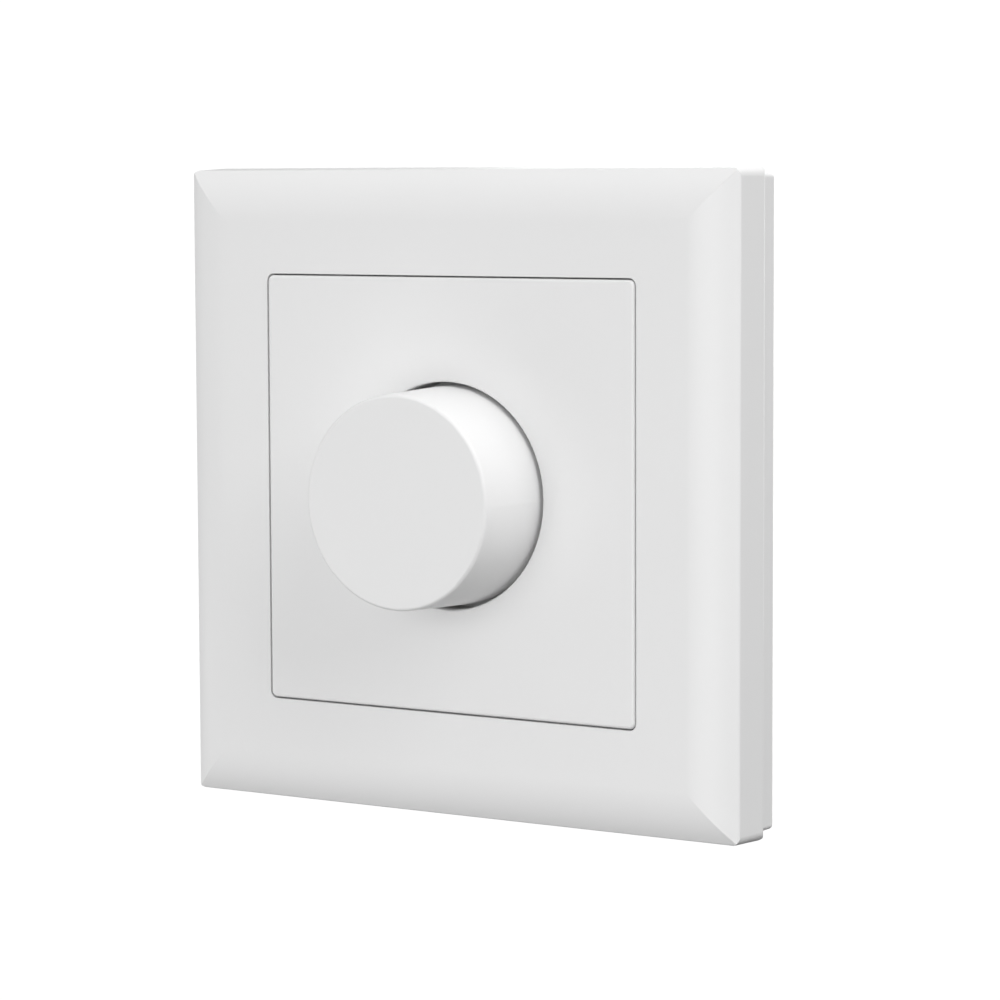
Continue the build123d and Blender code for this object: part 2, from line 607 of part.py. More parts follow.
def fixing_nut():
    """The hexagon nut that clamps the centre plate, with its corners chamfered front and rear."""
    rear_y = WELL_FLOOR_Y - WASHER_HEIGHT
    front_y = rear_y - NUT_HEIGHT
    flat_radius = NUT_ACROSS_FLATS / 2
    corner_radius = flat_radius / cos(pi / 6)
    rise = (corner_radius - flat_radius) * tan(radians(NUT_CHAMFER_ANGLE))
    bore = BUSHING_RADIUS + SCREW_GAP
    blank = turned(
        [
            (bore, front_y),
            (flat_radius, front_y),
            (corner_radius, front_y + rise),
            (corner_radius, rear_y - rise),
            (flat_radius, rear_y),
            (bore, rear_y),
        ]
    )
    return blank & slab(RegularPolygon(corner_radius, 6), front_y, rear_y)


def lock_washer():
    """The toothed washer under the nut."""
    outline = Circle(WASHER_RADIUS) - Circle(BUSHING_RADIUS + SEAT_GAP)
    notch = Pos(WASHER_RADIUS, 0) * Rectangle(2 * WASHER_TOOTH_LENGTH, WASHER_TOOTH_GAP)
    outline -= [Rot(0, 0, 360 / WASHER_TOOTH_COUNT * i) * notch for i in range(WASHER_TOOTH_COUNT)]
    return slab(outline, WELL_FLOOR_Y - WASHER_HEIGHT, WELL_FLOOR_Y)


def support_ring():
    """The steel plate on the wall, with slots for the box screws and folded stiffening edges."""
    half = RING_WIDTH / 2
    outline = chamfer(Rectangle(RING_WIDTH, RING_WIDTH).vertices(), RING_CORNER_CUT)
    dovetail = make_face(
        Polyline(
            (half - DOVETAIL_DEPTH, DOVETAIL_WIDTH / 2),
            (half + OVERCUT, DOVETAIL_NECK / 2),
            (half + OVERCUT, -DOVETAIL_NECK / 2),
            (half - DOVETAIL_DEPTH, -DOVETAIL_WIDTH / 2),
            close=True,
        )
    )
    for turn in (0, 180):
        outline -= [Rot(0, 0, turn) * Pos(0, z) * dovetail for z in (-DOVETAIL_Z, DOVETAIL_Z)]
    window = RectangleRounded(CLAW_WINDOW_WIDTH, CLAW_WINDOW_LENGTH, CLAW_WINDOW_RADIUS)
    for x in (-CLAW_WINDOW_X, CLAW_WINDOW_X):
        outline -= at_places(window, [(x, -CLAW_WINDOW_Z), (x, CLAW_WINDOW_Z)])
    outline -= Circle(POT_RADIUS + POT_MARGIN)
    outline -= at_places(Circle(SCREW_RADIUS + SEAT_GAP), SCREW_PLACES)
    plate = slab(outline, -RING_SHEET, 0)

    outer_bend = RING_BEND_RADIUS + RING_SHEET
    front_y = -RING_SHEET - RING_FLANGE_HEIGHT
    fold = make_face(
        Polyline(
            (half - 2 * outer_bend, 0),
            (half, 0),
            (half, front_y),
            (half - RING_SHEET, front_y),
            (half - RING_SHEET, -RING_SHEET),
            (half - 2 * outer_bend, -RING_SHEET),
            close=True,
        )
    )
    fold = fillet(fold.vertices().sort_by_distance((half, 0))[0], outer_bend)
    fold = fillet(fold.vertices().sort_by_distance((half - RING_SHEET, -RING_SHEET))[0], RING_BEND_RADIUS)
    flange = extrude(fold, RING_FLANGE_LENGTH / 2, both=True)
    flat_edge = slab(Pos(half, 0) * Rectangle(4 * outer_bend, RING_FLANGE_LENGTH), -RING_SHEET, 0)
    for turn in (90, 270):
        for x in (-RING_FLANGE_CENTRE, RING_FLANGE_CENTRE):
            place = Rot(0, turn, 0) * Pos(0, 0, x)
            plate -= place * flat_edge
            plate += place * flange

    slot = SlotOverall(BOX_SLOT_LENGTH, BOX_SLOT_WIDTH)
    at_side = slab(Pos(BOX_SCREW_SPACING / 2, 0) * slot, -RING_SHEET - OVERCUT, OVERCUT)
    return plate - four_sides(at_side)


def case_outline(inset):
    """The insert's outline with its corners cut at 45 degrees, set in by inset all round."""
    cut = CASE_CORNER_CUT - inset * (2 - sqrt(2))
    return chamfer(Rectangle(CASE_WIDTH - 2 * inset, CASE_HEIGHT - 2 * inset).vertices(), cut)


def front_cover():
    """The insert's front moulding, a shallow cap on the ring with a boss over the potentiometer."""
    outline = case_outline(COVER_INSET)
    body = slab(outline, COVER_FRONT_Y, -RING_SHEET)
    body -= slab(case_outline(COVER_INSET + COVER_WALL), COVER_FRONT_Y + COVER_WALL, OVERCUT)
    screw_bosses = Sketch() + at_places(Circle(POST_RADIUS + SEAT_GAP), SCREW_PLACES)
    body += slab(screw_bosses & outline, COVER_FRONT_Y + COVER_WALL / 2, -RING_SHEET)
    inner_radius = POT_RADIUS + SEAT_GAP
    body += disc(inner_radius + BOSS_WALL, BOSS_FRONT_Y, -RING_SHEET)
    body -= disc(inner_radius, BOSS_INNER_Y, OVERCUT)
    body -= disc(BUSHING_RADIUS + SLIDE_GAP, BOSS_FRONT_Y - OVERCUT, OVERCUT)
    screw_holes = Sketch() + at_places(Circle(SCREW_RADIUS + SEAT_GAP), SCREW_PLACES)
    return body - slab(screw_holes, COVER_FRONT_Y - OVERCUT, OVERCUT)


def case_screws():
    """Four cross-head screws through the front cover, the ring and the heat sink into the posts."""
    head_y = COVER_FRONT_Y - SCREW_HEAD_HEIGHT
    end_y = COVER_FRONT_Y + SCREW_LENGTH
    screw = turned(
        [
            (0, head_y),
            (SCREW_HEAD_RADIUS - SCREW_HEAD_ROUND, head_y),
            (SCREW_HEAD_RADIUS, head_y + SCREW_HEAD_ROUND),
            (SCREW_HEAD_RADIUS, COVER_FRONT_Y),
            (SCREW_RADIUS, COVER_FRONT_Y),
            (SCREW_RADIUS, end_y - SCREW_TIP),
            (SCREW_RADIUS / 2, end_y),
            (0, end_y),
        ]
    )
    cross = Rectangle(DRIVE_LENGTH, DRIVE_WIDTH) + Rectangle(DRIVE_WIDTH, DRIVE_LENGTH)
    screw -= slab(cross, head_y - OVERCUT, head_y + DRIVE_DEPTH)
    return [moved(screw, place) for place in SCREW_PLACES]


def rear_case():
    """The deep moulding in the wall box: screw posts, board rests, vents, wire and driver holes."""
    outline = case_outline(0)
    body = slab(outline, 0, CASE_DEPTH)
    body = fillet(rim_at(body, CASE_DEPTH), CASE_EDGE_RADIUS)
    inner = case_outline(CASE_WALL)
    body -= slab(inner, -OVERCUT, CASE_INNER_REAR_Y)
    vent_y = CASE_INNER_REAR_Y - VENT_FROM_REAR - VENT_LENGTH / 2
    vent = Box(CASE_WIDTH + OVERCUT, VENT_LENGTH, VENT_WIDTH)
    body -= [Pos(0, vent_y, (i - (VENT_COUNT - 1) / 2) * VENT_PITCH) * vent for i in range(VENT_COUNT)]

    rear_y = CASE_INNER_REAR_Y + CASE_REAR_WALL / 2
    posts = Sketch() + at_places(Circle(POST_RADIUS), SCREW_PLACES)
    body += slab(posts & outline, HEAT_SINK_SHEET, rear_y)
    rest_width = BOARD_REST_REACH + CASE_WALL / 2
    rest_x = CASE_WIDTH / 2 - CASE_WALL / 2 - rest_width / 2
    rest_places = [(x, z) for x in (-rest_x, rest_x) for z in (-BOARD_REST_Z, BOARD_REST_Z)]
    rests = Sketch() + at_places(Rectangle(rest_width, BOARD_REST_WIDTH), rest_places)
    body += slab(rests, BOARD_REAR_Y, rear_y)
    pilot_end_y = COVER_FRONT_Y + SCREW_LENGTH + PILOT_PAST_SCREW
    pilots = Sketch() + at_places(Circle(SCREW_RADIUS + SCREW_GAP), SCREW_PLACES)
    body -= slab(pilots, -OVERCUT, pilot_end_y)

    funnel_width = WIRE_ENTRY + 2 * WIRE_FUNNEL
    mouth = loft(
        [
            Plane.XZ.offset(-CASE_INNER_REAR_Y) * Rectangle(WIRE_ENTRY, WIRE_ENTRY),
            Plane.XZ.offset(-CASE_DEPTH) * Rectangle(funnel_width, funnel_width),
        ]
    )
    driver_radius = TERMINAL_SCREW_HEAD_RADIUS + SEAT_GAP
    driver_hole = Pos(0, TERMINAL_SCREW_Y, -CASE_HEIGHT / 2) * Cylinder(driver_radius, 4 * CASE_WALL)
    for x in TERMINAL_XS:
        body -= Pos(x, 0, TERMINAL_Z) * mouth
        body -= Pos(x, 0, 0) * driver_hole
    return body


def heat_sink():
    """The aluminium plate behind the ring, clamped by the case screws, which cools the power switches."""
    outline = case_outline(CASE_WALL + BOARD_GAP) - Circle(POT_RADIUS + POT_MARGIN)
    outline -= at_places(Circle(SCREW_RADIUS + SEAT_GAP), SCREW_PLACES)
    return slab(outline, 0, HEAT_SINK_SHEET)


def insulating_pad():
    """The thin pad between a power switch and the heat sink, drawn at the middle."""
    outline = Rectangle(POWER_SWITCH_WIDTH + 2 * PAD_BORDER, POWER_SWITCH_HEIGHT + 2 * PAD_BORDER)
    return slab(outline, HEAT_SINK_SHEET, HEAT_SINK_SHEET + PAD_SHEET)


def power_switch():
    """A flat moulded transistor with its hole and three bent legs through the board, at the middle."""
    outline = Rectangle(POWER_SWITCH_WIDTH, POWER_SWITCH_HEIGHT)
    hole_z = POWER_SWITCH_HEIGHT / 2 - POWER_SWITCH_HOLE_FROM_TOP
    outline -= Pos(0, hole_z) * Circle(POWER_SWITCH_HOLE_RADIUS)
    body = slab(outline, POWER_SWITCH_Y, POWER_SWITCH_Y + POWER_SWITCH_DEPTH)
    leg_y = POWER_SWITCH_Y + POWER_SWITCH_DEPTH / 2
    foot_z = FOOT_Z - POWER_SWITCH_Z
    foot_end_y = BOARD_REAR_Y + LEG_PAST_BOARD
    drop = Rectangle(LEG_WIDTH, LEG_DROP + LEG_WIDTH)
    foot = Rectangle(LEG_WIDTH, LEG_WIDTH)
    for step in (-1, 0, 1):
        x = step * LEG_PITCH
        body += slab(Pos(x, foot_z + LEG_DROP / 2) * drop, leg_y - LEG_WIDTH / 2, leg_y + LEG_WIDTH / 2)
        body += slab(Pos(x, foot_z) * foot, leg_y - LEG_WIDTH / 2, foot_end_y)
    return body


def circuit_board():
    """The board on the case's rests, notched round the posts, with a hole for each transistor leg."""
    outline = case_outline(CASE_WALL + BOARD_GAP)
    outline -= at_places(Circle(POST_RADIUS + BOARD_GAP), SCREW_PLACES)
    hole = Rectangle(LEG_WIDTH + 2 * SLIDE_GAP, LEG_WIDTH + 2 * SLIDE_GAP)
    leg_xs = [side * POWER_SWITCH_X + step * LEG_PITCH for side in (-1, 1) for step in (-1, 0, 1)]
    outline -= at_places(hole, [(x, FOOT_Z) for x in leg_xs])
    return slab(outline, SWITCH_REAR_Y, BOARD_REAR_Y)


def potentiometer_case():
    """The cup round the rotor and the track, with the stop that ends the turn at the top."""
    tip_hole = SHAFT_TIP_RADIUS + SEAT_GAP
    cup = turned(
        [
            (POT_INNER_RADIUS, POT_FRONT_Y),
            (POT_RADIUS, POT_FRONT_Y),
            (POT_RADIUS, POT_REAR_Y),
            (tip_hole, POT_REAR_Y),
            (tip_hole, POT_FLOOR_Y),
            (POT_INNER_RADIUS, POT_FLOOR_Y),
        ]
    )
    stop_half_angle = 180 - TURN_EACH_WAY - STOP_LUG_HALF_ANGLE - STOP_PLAY_ANGLE
    stop_radius = POT_INNER_RADIUS + POT_WALL / 2
    stop = Circle(stop_radius) - Circle(ROTOR_RADIUS + SEAT_GAP)
    stop &= upward_wedge(POT_RADIUS, stop_half_angle)
    return cup + slab(stop, ROTOR_REAR_Y - ROTOR_DISC, ROTOR_REAR_Y)


def resistive_track():
    """The disc with the carbon track, at the bottom of the potentiometer's cup."""
    outline = Circle(POT_INNER_RADIUS - SCREW_GAP) - Circle(SHAFT_TIP_RADIUS + SEAT_GAP)
    return slab(outline, TRACK_Y, POT_FLOOR_Y)


def potentiometer_rotor():
    """The wiper's carrier, which the shaft turns and slides in: hub, disc, front sleeve and stop lug."""
    sleeve_inner = CLIP_OUTER_RADIUS + ROTOR_SLEEVE_GAP
    disc_front_y = ROTOR_REAR_Y - ROTOR_DISC
    sleeve = Circle(sleeve_inner + ROTOR_SLEEVE_WALL) - Circle(sleeve_inner)
    lug = Circle(POT_INNER_RADIUS - SEAT_GAP) - Circle(ROTOR_RADIUS - SEAT_GAP)
    lug &= upward_wedge(POT_RADIUS, STOP_LUG_HALF_ANGLE)
    body = disc(SHAFT_RADIUS + ROTOR_HUB_WALL, ROTOR_FRONT_Y, ROTOR_REAR_Y)
    body += disc(ROTOR_RADIUS, disc_front_y, ROTOR_REAR_Y)
    body += slab(sleeve, POT_FRONT_Y + SLIDE_GAP, ROTOR_REAR_Y - ROTOR_DISC / 2)
    body += slab(Rot(0, 0, 180) * lug, disc_front_y, ROTOR_REAR_Y)
    hole = d_outline(SHAFT_RADIUS + SLIDE_GAP, SHAFT_FLAT + SLIDE_GAP)
    return body - slab(hole, ROTOR_FRONT_Y - OVERCUT, ROTOR_REAR_Y + OVERCUT)


def wiper():
    """The sprung contact on the rotor: a strip with one bent finger that brushes the track."""
    finger_y = TRACK_Y - WIPER_GAP
    profile = [
        (-WIPER_WIDTH, ROTOR_REAR_Y),
        (WIPER_WIDTH, ROTOR_REAR_Y),
        (2 * WIPER_WIDTH, finger_y - WIPER_SHEET),
        (2 * WIPER_WIDTH, finger_y),
        (2 * WIPER_WIDTH - WIPER_SHEET, finger_y),
        (WIPER_WIDTH - WIPER_SHEET, ROTOR_REAR_Y + WIPER_SHEET),
        (-WIPER_WIDTH, ROTOR_REAR_Y + WIPER_SHEET),
    ]
    strip = extrude(make_face(Polyline(*profile, close=True)), WIPER_WIDTH / 2, both=True)
    return Pos(0, 0, -(SHAFT_RADIUS + ROTOR_RADIUS) / 2) * strip


def push_switch_body():
    """The push switch's housing on the board, bored for the plunger and its two keys."""
    outline = RectangleRounded(SWITCH_WIDTH, SWITCH_WIDTH, SWITCH_CORNER_RADIUS)
    body = slab(outline, POT_REAR_Y, SWITCH_REAR_Y)
    key_reach = PLUNGER_RADIUS + PLUNGER_KEY_REACH + SLIDE_GAP
    bore = Circle(PLUNGER_RADIUS + SLIDE_GAP) + Rectangle(2 * key_reach, PLUNGER_KEY_WIDTH + 2 * SLIDE_GAP)
    return body - slab(bore, POT_REAR_Y - OVERCUT, SWITCH_FLOOR_Y)


def push_plunger():
    """The plunger that the shaft's tip presses: a keyed head and a stem inside the spring."""
    key = Rectangle(2 * (PLUNGER_RADIUS + PLUNGER_KEY_REACH), PLUNGER_KEY_WIDTH)
    head = slab(Circle(PLUNGER_RADIUS) + key, SHAFT_END_Y, PLUNGER_REAR_Y)
    return head + disc(PLUNGER_STEM_RADIUS, PLUNGER_REAR_Y, PLUNGER_REAR_Y + PLUNGER_STEM_LENGTH)


def return_spring():
    """The coil spring between the plunger's head and the bottom of the switch."""
    end_room = SPRING_WIRE / 2 + SCREW_GAP
    front_y = PLUNGER_REAR_Y + end_room
    length = SWITCH_FLOOR_Y - end_room - front_y
    path = Helix(pitch=length / SPRING_TURNS, height=length, radius=SPRING_RADIUS)
    section = Plane(origin=path @ 0, z_dir=path % 0) * RegularPolygon(SPRING_WIRE / 2, 6)
    coil = sweep(section, path=path, is_frenet=True)
    return Pos(0, front_y, 0) * Rot(-90, 0, 0) * coil


def choke_core():
    """The toroid core, lying flat behind the board."""
    ring = Circle(CHOKE_RADIUS) - Circle(CHOKE_BORE_RADIUS)
    return moved(slab(ring, CHOKE_FRONT_Y, CHOKE_FRONT_Y + CHOKE_HEIGHT), CHOKE_CENTRE)


def choke_winding():
    """The wire round the core: the turns lie side by side in the bore and fan out round the rim."""
    hole_width = CHOKE_RADIUS - CHOKE_BORE_RADIUS + 2 * SCREW_GAP
    hole_height = CHOKE_HEIGHT + 2 * SCREW_GAP
    around = Rectangle(hole_width + 2 * CHOKE_WIRE, hole_height + 2 * CHOKE_WIRE)
    around -= Rectangle(hole_width, hole_height)
    middle = Pos((CHOKE_RADIUS + CHOKE_BORE_RADIUS) / 2, CHOKE_FRONT_Y + CHOKE_HEIGHT / 2)
    turn = extrude(middle * around, CHOKE_WIRE / 2, both=True)
    wire_circle = 2 * pi * (CHOKE_BORE_RADIUS - CHOKE_WIRE / 2)
    turn_count = ceil(wire_circle / CHOKE_PITCH_IN_BORE)
    winding = Part() + [Rot(0, 360 / turn_count * i, 0) * turn for i in range(turn_count)]
    return moved(winding, CHOKE_CENTRE)


def filter_capacitor():
    """The box-shaped interference capacitor, beside the choke."""
    rear_y = CASE_INNER_REAR_Y - FILTER_CAP_FROM_REAR
    outline = Rectangle(FILTER_CAP_RIGHT_X - FILTER_CAP_LEFT_X, FILTER_CAP_HEIGHT)
    body = slab(outline, BOARD_REAR_Y, rear_y)
    return moved(chamfer(rim_at(body, rear_y), FILTER_CAP_EDGE), FILTER_CAP_CENTRE)


def smoothing_capacitor():
    """The can-shaped electrolytic capacitor with its crimped bead."""
    rear_y = CASE_INNER_REAR_Y - CAN_FROM_REAR
    bead_y = BOARD_REAR_Y + CAN_BEAD_FROM_BOARD
    waist_radius = CAN_RADIUS - CAN_BEAD
    can = turned(
        [
            (0, BOARD_REAR_Y),
            (CAN_RADIUS, BOARD_REAR_Y),
            (CAN_RADIUS, bead_y),
            (waist_radius, bead_y + CAN_BEAD),
            (CAN_RADIUS, bead_y + 2 * CAN_BEAD),
            (CAN_RADIUS, rear_y - CAN_BEAD),
            (waist_radius, rear_y),
            (0, rear_y),
        ]
    )
    return moved(can, CAN_CENTRE)


def along_fuse(outline, x_start, x_end):
    """A flat outline carried along the fuse's axis; the outline's right is away from the board."""
    bar = extrude(Plane.YZ.offset(x_start) * outline, x_end - x_start)
    return Pos(FUSE_X, BOARD_REAR_Y + FUSE_ABOVE_BOARD, FUSE_Z) * bar


def fuse_glass():
    """The glass tube of the fuse."""
    half = FUSE_LENGTH / 2 - FUSE_CAP_WALL
    outer_radius = FUSE_RADIUS - FUSE_CAP_WALL
    return along_fuse(Circle(outer_radius) - Circle(outer_radius - FUSE_GLASS_WALL), -half, half)


def fuse_caps():
    """The two metal end caps of the fuse."""
    end = FUSE_LENGTH / 2
    mouth = end - FUSE_CAP_LENGTH
    bore = Circle(FUSE_RADIUS - FUSE_CAP_WALL)
    right = along_fuse(Circle(FUSE_RADIUS), mouth, end) - along_fuse(bore, mouth, end - FUSE_CAP_WALL)
    left = along_fuse(Circle(FUSE_RADIUS), -end, -mouth) - along_fuse(bore, FUSE_CAP_WALL - end, -mouth)
    return [left, right]


def fuse_clips():
    """The two sprung clips that hold the fuse, each on a foot on the board."""
    inner_radius = FUSE_RADIUS + SCREW_GAP
    band = Rot(0, 0, -90) * open_ring(inner_radius, inner_radius + FUSE_CLIP_SHEET, FUSE_CLIP_GAP_ANGLE)
    foot_height = FUSE_ABOVE_BOARD - inner_radius - FUSE_CLIP_SHEET / 2
    foot = Pos(foot_height / 2 - FUSE_ABOVE_BOARD, 0) * Rectangle(foot_height, FUSE_CLIP_WIDTH)
    middle = FUSE_LENGTH / 2 - FUSE_CAP_LENGTH / 2
    half = FUSE_CLIP_WIDTH / 2
    return [along_fuse(band + foot, x - half, x + half) for x in (-middle, middle)]


def terminal_block():
    """The moulded block on the board with one chamber for each wire terminal."""
    chamber = Rectangle(CHAMBER_WIDTH, CAGE_HEIGHT + 2 * SEAT_GAP)
    outline = Rectangle(TERMINAL_BLOCK_WIDTH, TERMINAL_BLOCK_HEIGHT)
    body = slab(Pos(0, TERMINAL_Z) * outline, BOARD_REAR_Y, TERMINAL_REAR_Y)
    chambers = Sketch() + at_places(chamber, [(x, TERMINAL_Z) for x in TERMINAL_XS])
    body -= slab(chambers, TERMINAL_REAR_Y - CAGE_LENGTH, TERMINAL_REAR_Y + OVERCUT)
    hole = Cylinder(TERMINAL_SCREW_HEAD_RADIUS + SEAT_GAP, TERMINAL_BLOCK_HEIGHT / 2)
    hole_z = TERMINAL_Z - TERMINAL_BLOCK_HEIGHT / 2
    return body - [Pos(x, TERMINAL_SCREW_Y, hole_z) * hole for x in TERMINAL_XS]


def terminal_cage():
    """A brass cage open to the wire, tapped in its underside for the screw, drawn at x = 0."""
    wire_way = Rectangle(CAGE_WIDTH - 2 * CAGE_WALL, CAGE_HEIGHT - 2 * CAGE_WALL)
    outline = Rectangle(CAGE_WIDTH, CAGE_HEIGHT) - wire_way
    body = slab(Pos(0, TERMINAL_Z) * outline, TERMINAL_REAR_Y - CAGE_LENGTH, TERMINAL_REAR_Y)
    tapped = Cylinder(TERMINAL_SCREW_RADIUS + SCREW_GAP, 3 * CAGE_WALL)
    return body - Pos(0, TERMINAL_SCREW_Y, TERMINAL_Z - CAGE_HEIGHT / 2) * tapped


def terminal_screw():
    """A slotted clamping screw, driven from below, drawn at x = 0."""
    head_top_z = TERMINAL_Z - CAGE_HEIGHT / 2 - TERMINAL_SCREW_LIFT
    head_bottom_z = head_top_z - TERMINAL_SCREW_HEAD_HEIGHT
    tip_z = TERMINAL_Z - CAGE_HEIGHT / 2 + CAGE_WALL + TERMINAL_SCREW_LIFT
    head = Plane.XY.offset(head_bottom_z) * Circle(TERMINAL_SCREW_HEAD_RADIUS)
    shank = Plane.XY.offset(head_top_z) * Circle(TERMINAL_SCREW_RADIUS)
    body = extrude(head, TERMINAL_SCREW_HEAD_HEIGHT) + extrude(shank, tip_z - head_top_z)
    slot = Rectangle(2 * TERMINAL_SCREW_HEAD_RADIUS, DRIVE_WIDTH)
    body -= extrude(Plane.XY.offset(head_bottom_z) * slot, DRIVE_DEPTH)
    return Pos(0, TERMINAL_SCREW_Y, 0) * body


def all_pieces():
    """Every piece by its name."""
    pieces = {
        "cover_frame": cover_frame(),
        "backing_frame": backing_frame(),
        "centre_plate": centre_plate(),
        "knob": knob(),
        "knob_clamp_ring": knob_clamp_ring(),
        "shaft": shaft(),
        "shaft_clip": shaft_clip(),
        "threaded_bushing": threaded_bushing(),
        "fixing_nut": fixing_nut(),
        "lock_washer": lock_washer(),
        "support_ring": support_ring(),
        "front_cover": front_cover(),
        "case_screws": case_screws(),
        "rear_case": rear_case(),
        "heat_sink": heat_sink(),
        "circuit_board": circuit_board(),
        "potentiometer_case": potentiometer_case(),
        "resistive_track": resistive_track(),
        "potentiometer_rotor": potentiometer_rotor(),
        "wiper": wiper(),
        "push_switch_body": push_switch_body(),
        "push_plunger": push_plunger(),
        "return_spring": return_spring(),
        "choke_core": choke_core(),
        "choke_winding": choke_winding(),
        "filter_capacitor": filter_capacitor(),
        "smoothing_capacitor": smoothing_capacitor(),
        "fuse_glass": fuse_glass(),
        "fuse_caps": fuse_caps(),
        "fuse_clips": fuse_clips(),
        "terminal_block": terminal_block(),
    }
    for name, x in (("left", -POWER_SWITCH_X), ("right", POWER_SWITCH_X)):
        pieces[f"power_switch_{name}"] = moved(power_switch(), (x, POWER_SWITCH_Z))
        pieces[f"insulating_pad_{name}"] = moved(insulating_pad(), (x, POWER_SWITCH_Z))
    for number, x in enumerate(TERMINAL_XS, start=1):
        pieces[f"terminal_cage_{number}"] = moved(terminal_cage(), (x, 0))
        pieces[f"terminal_screw_{number}"] = moved(terminal_screw(), (x, 0))
    return pieces


def main():
    """Writes one STEP file for each piece."""
    os.makedirs("parts", exist_ok=True)
    for name, shape in all_pieces().items():
        solids = Compound(children=shape) if isinstance(shape, list) else shape
        export_step(solids, f"parts/{name}.step")


main()
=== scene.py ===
"""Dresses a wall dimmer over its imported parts: surfaces for every piece, a spring, a coil and solder
made here, and a pale studio. Lengths are in metres, with the room at -Y, the wall at +Y and +Z up."""

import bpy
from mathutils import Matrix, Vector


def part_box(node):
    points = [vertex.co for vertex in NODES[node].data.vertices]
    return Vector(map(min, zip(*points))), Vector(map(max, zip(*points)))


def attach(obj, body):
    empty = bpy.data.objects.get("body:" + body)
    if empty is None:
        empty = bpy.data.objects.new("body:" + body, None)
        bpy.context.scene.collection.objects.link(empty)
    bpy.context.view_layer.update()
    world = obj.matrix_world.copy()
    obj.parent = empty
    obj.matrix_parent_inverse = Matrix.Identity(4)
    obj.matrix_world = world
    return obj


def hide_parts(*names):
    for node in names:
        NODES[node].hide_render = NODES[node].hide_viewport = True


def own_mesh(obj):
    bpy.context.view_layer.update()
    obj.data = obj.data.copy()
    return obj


bl_info = {
    "name": "Wall Dimmer",
    "version": (1, 0, 0),
    "blender": (4, 5, 0),
    "location": "3D View > Sidebar > Dimmer",
    "description": "Surfaces, small pieces and a studio for a rotary wall dimmer",
    "category": "Object",
}

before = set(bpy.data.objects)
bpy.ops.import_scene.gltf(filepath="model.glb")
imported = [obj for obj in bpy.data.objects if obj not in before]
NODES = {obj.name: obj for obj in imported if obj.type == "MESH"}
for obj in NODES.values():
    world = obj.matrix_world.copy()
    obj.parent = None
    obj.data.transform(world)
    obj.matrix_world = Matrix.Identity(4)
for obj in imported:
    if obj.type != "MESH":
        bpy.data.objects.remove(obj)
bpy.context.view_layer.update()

from math import cos, radians, sin

import bpy
import numpy as np
from bpy.props import FloatProperty, FloatVectorProperty, IntProperty, PointerProperty
from mathutils import Matrix, Vector

MM = 0.001
WHITE = (1.0, 1.0, 1.0, 1.0)
# The length in metres after which a wave texture repeats at scale 1: a twentieth of two pi.
WAVE_PERIOD = 0.314159
# The sockets of a Mix node for its two colours, and for their mixture.
MIX_FIRST, MIX_SECOND, MIX_RESULT = 6, 7, 2
# The width of the clouds in which a moulding's pigment drifts.
PIGMENT_CLOUD = 25 * MM
# How many times longer than wide the lines on a rolled or drawn metal are.
LINE_STRETCH = 40
# Half the floor's width.
FLOOR_HALF = 30.0
SENSOR_WIDTH_MM = 36.0


def linear(hex_colour):
    """An sRGB colour written as #rrggbb, as linear red, green and blue."""
    shares = [int(hex_colour[start:start + 2], 16) / 255 for start in (1, 3, 5)]
    return tuple(c / 12.92 if c <= 0.04045 else ((c + 0.055) / 1.055) ** 2.4 for c in shares)


def colour(name, description, hex_colour):
    """A colour that the user can change."""
    return FloatVectorProperty(
        name=name, description=description, subtype="COLOR", size=3, min=0.0, max=1.0,
        default=linear(hex_colour),
    )


def length(name, description, millimetres):
    """A length that the user can change, kept in metres."""
    return FloatProperty(
        name=name, description=description, subtype="DISTANCE", unit="LENGTH", min=0.0,
        precision=5, default=millimetres * MM,
    )


def angle(name, description, degrees):
    """An angle that the user can change, kept in radians."""
    return FloatProperty(
        name=name, description=description, subtype="ANGLE", unit="ROTATION",
        default=radians(degrees),
    )


def power(name, description, watts):
    """A lamp's power that the user can change."""
    return FloatProperty(
        name=name, description=description, subtype="POWER", unit="POWER", min=0.0, default=watts
    )


def amount(name, description, default, least=0.0):
    """A plain number that the user can change."""
    return FloatProperty(name=name, description=description, default=default, min=least)


class MouldingSettings(bpy.types.PropertyGroup):
    """The moulded plastics."""

    white: colour("White", "Colour of the frame, the plate and the layer behind them", "#f2f2f2")
    knob_white: colour("Knob", "Colour of the knob", "#f2f2f2")
    case_black: colour("Case", "Colour of the case in the wall box", "#232427")
    cover_grey: colour("Cover", "Colour of the cover and the terminal block", "#b4b6b5")
    plunger_white: colour("Plunger", "Colour of the push switch's plunger", "#e4e2da")
    part_black: colour("Small parts", "Colour of the small black mouldings", "#17181a")
    grain: length("Grain", "Width of one grain of the white mouldings' skin", 0.30)
    case_grain: length("Case grain", "Width of one grain of the case's skin", 0.45)


class MetalSettings(bpy.types.PropertyGroup):
    """The metals."""

    zinc: colour("Zinc", "Colour of zinc-plated steel", "#c3c6ca")
    spring_steel: colour("Spring steel", "Colour of bright spring steel", "#a2a3a6")
    aluminium: colour("Aluminium", "Colour of turned and rolled aluminium", "#d6d7d9")
    brass: colour("Brass", "Colour of turned brass", "#d9b26a")
    bronze: colour("Bronze", "Colour of the wiper and the fuse clips", "#c99a62")
    nickel: colour("Nickel", "Colour of the fuse's end caps", "#cfccc4")
    solder: colour("Solder", "Colour of solder and tinned legs", "#c9cbcc")
    bushing_pitch: length("Bushing thread", "Pitch of the bushing's thread", 0.75)
    screw_pitch: length("Screw thread", "Pitch of the screws' threads", 0.8)


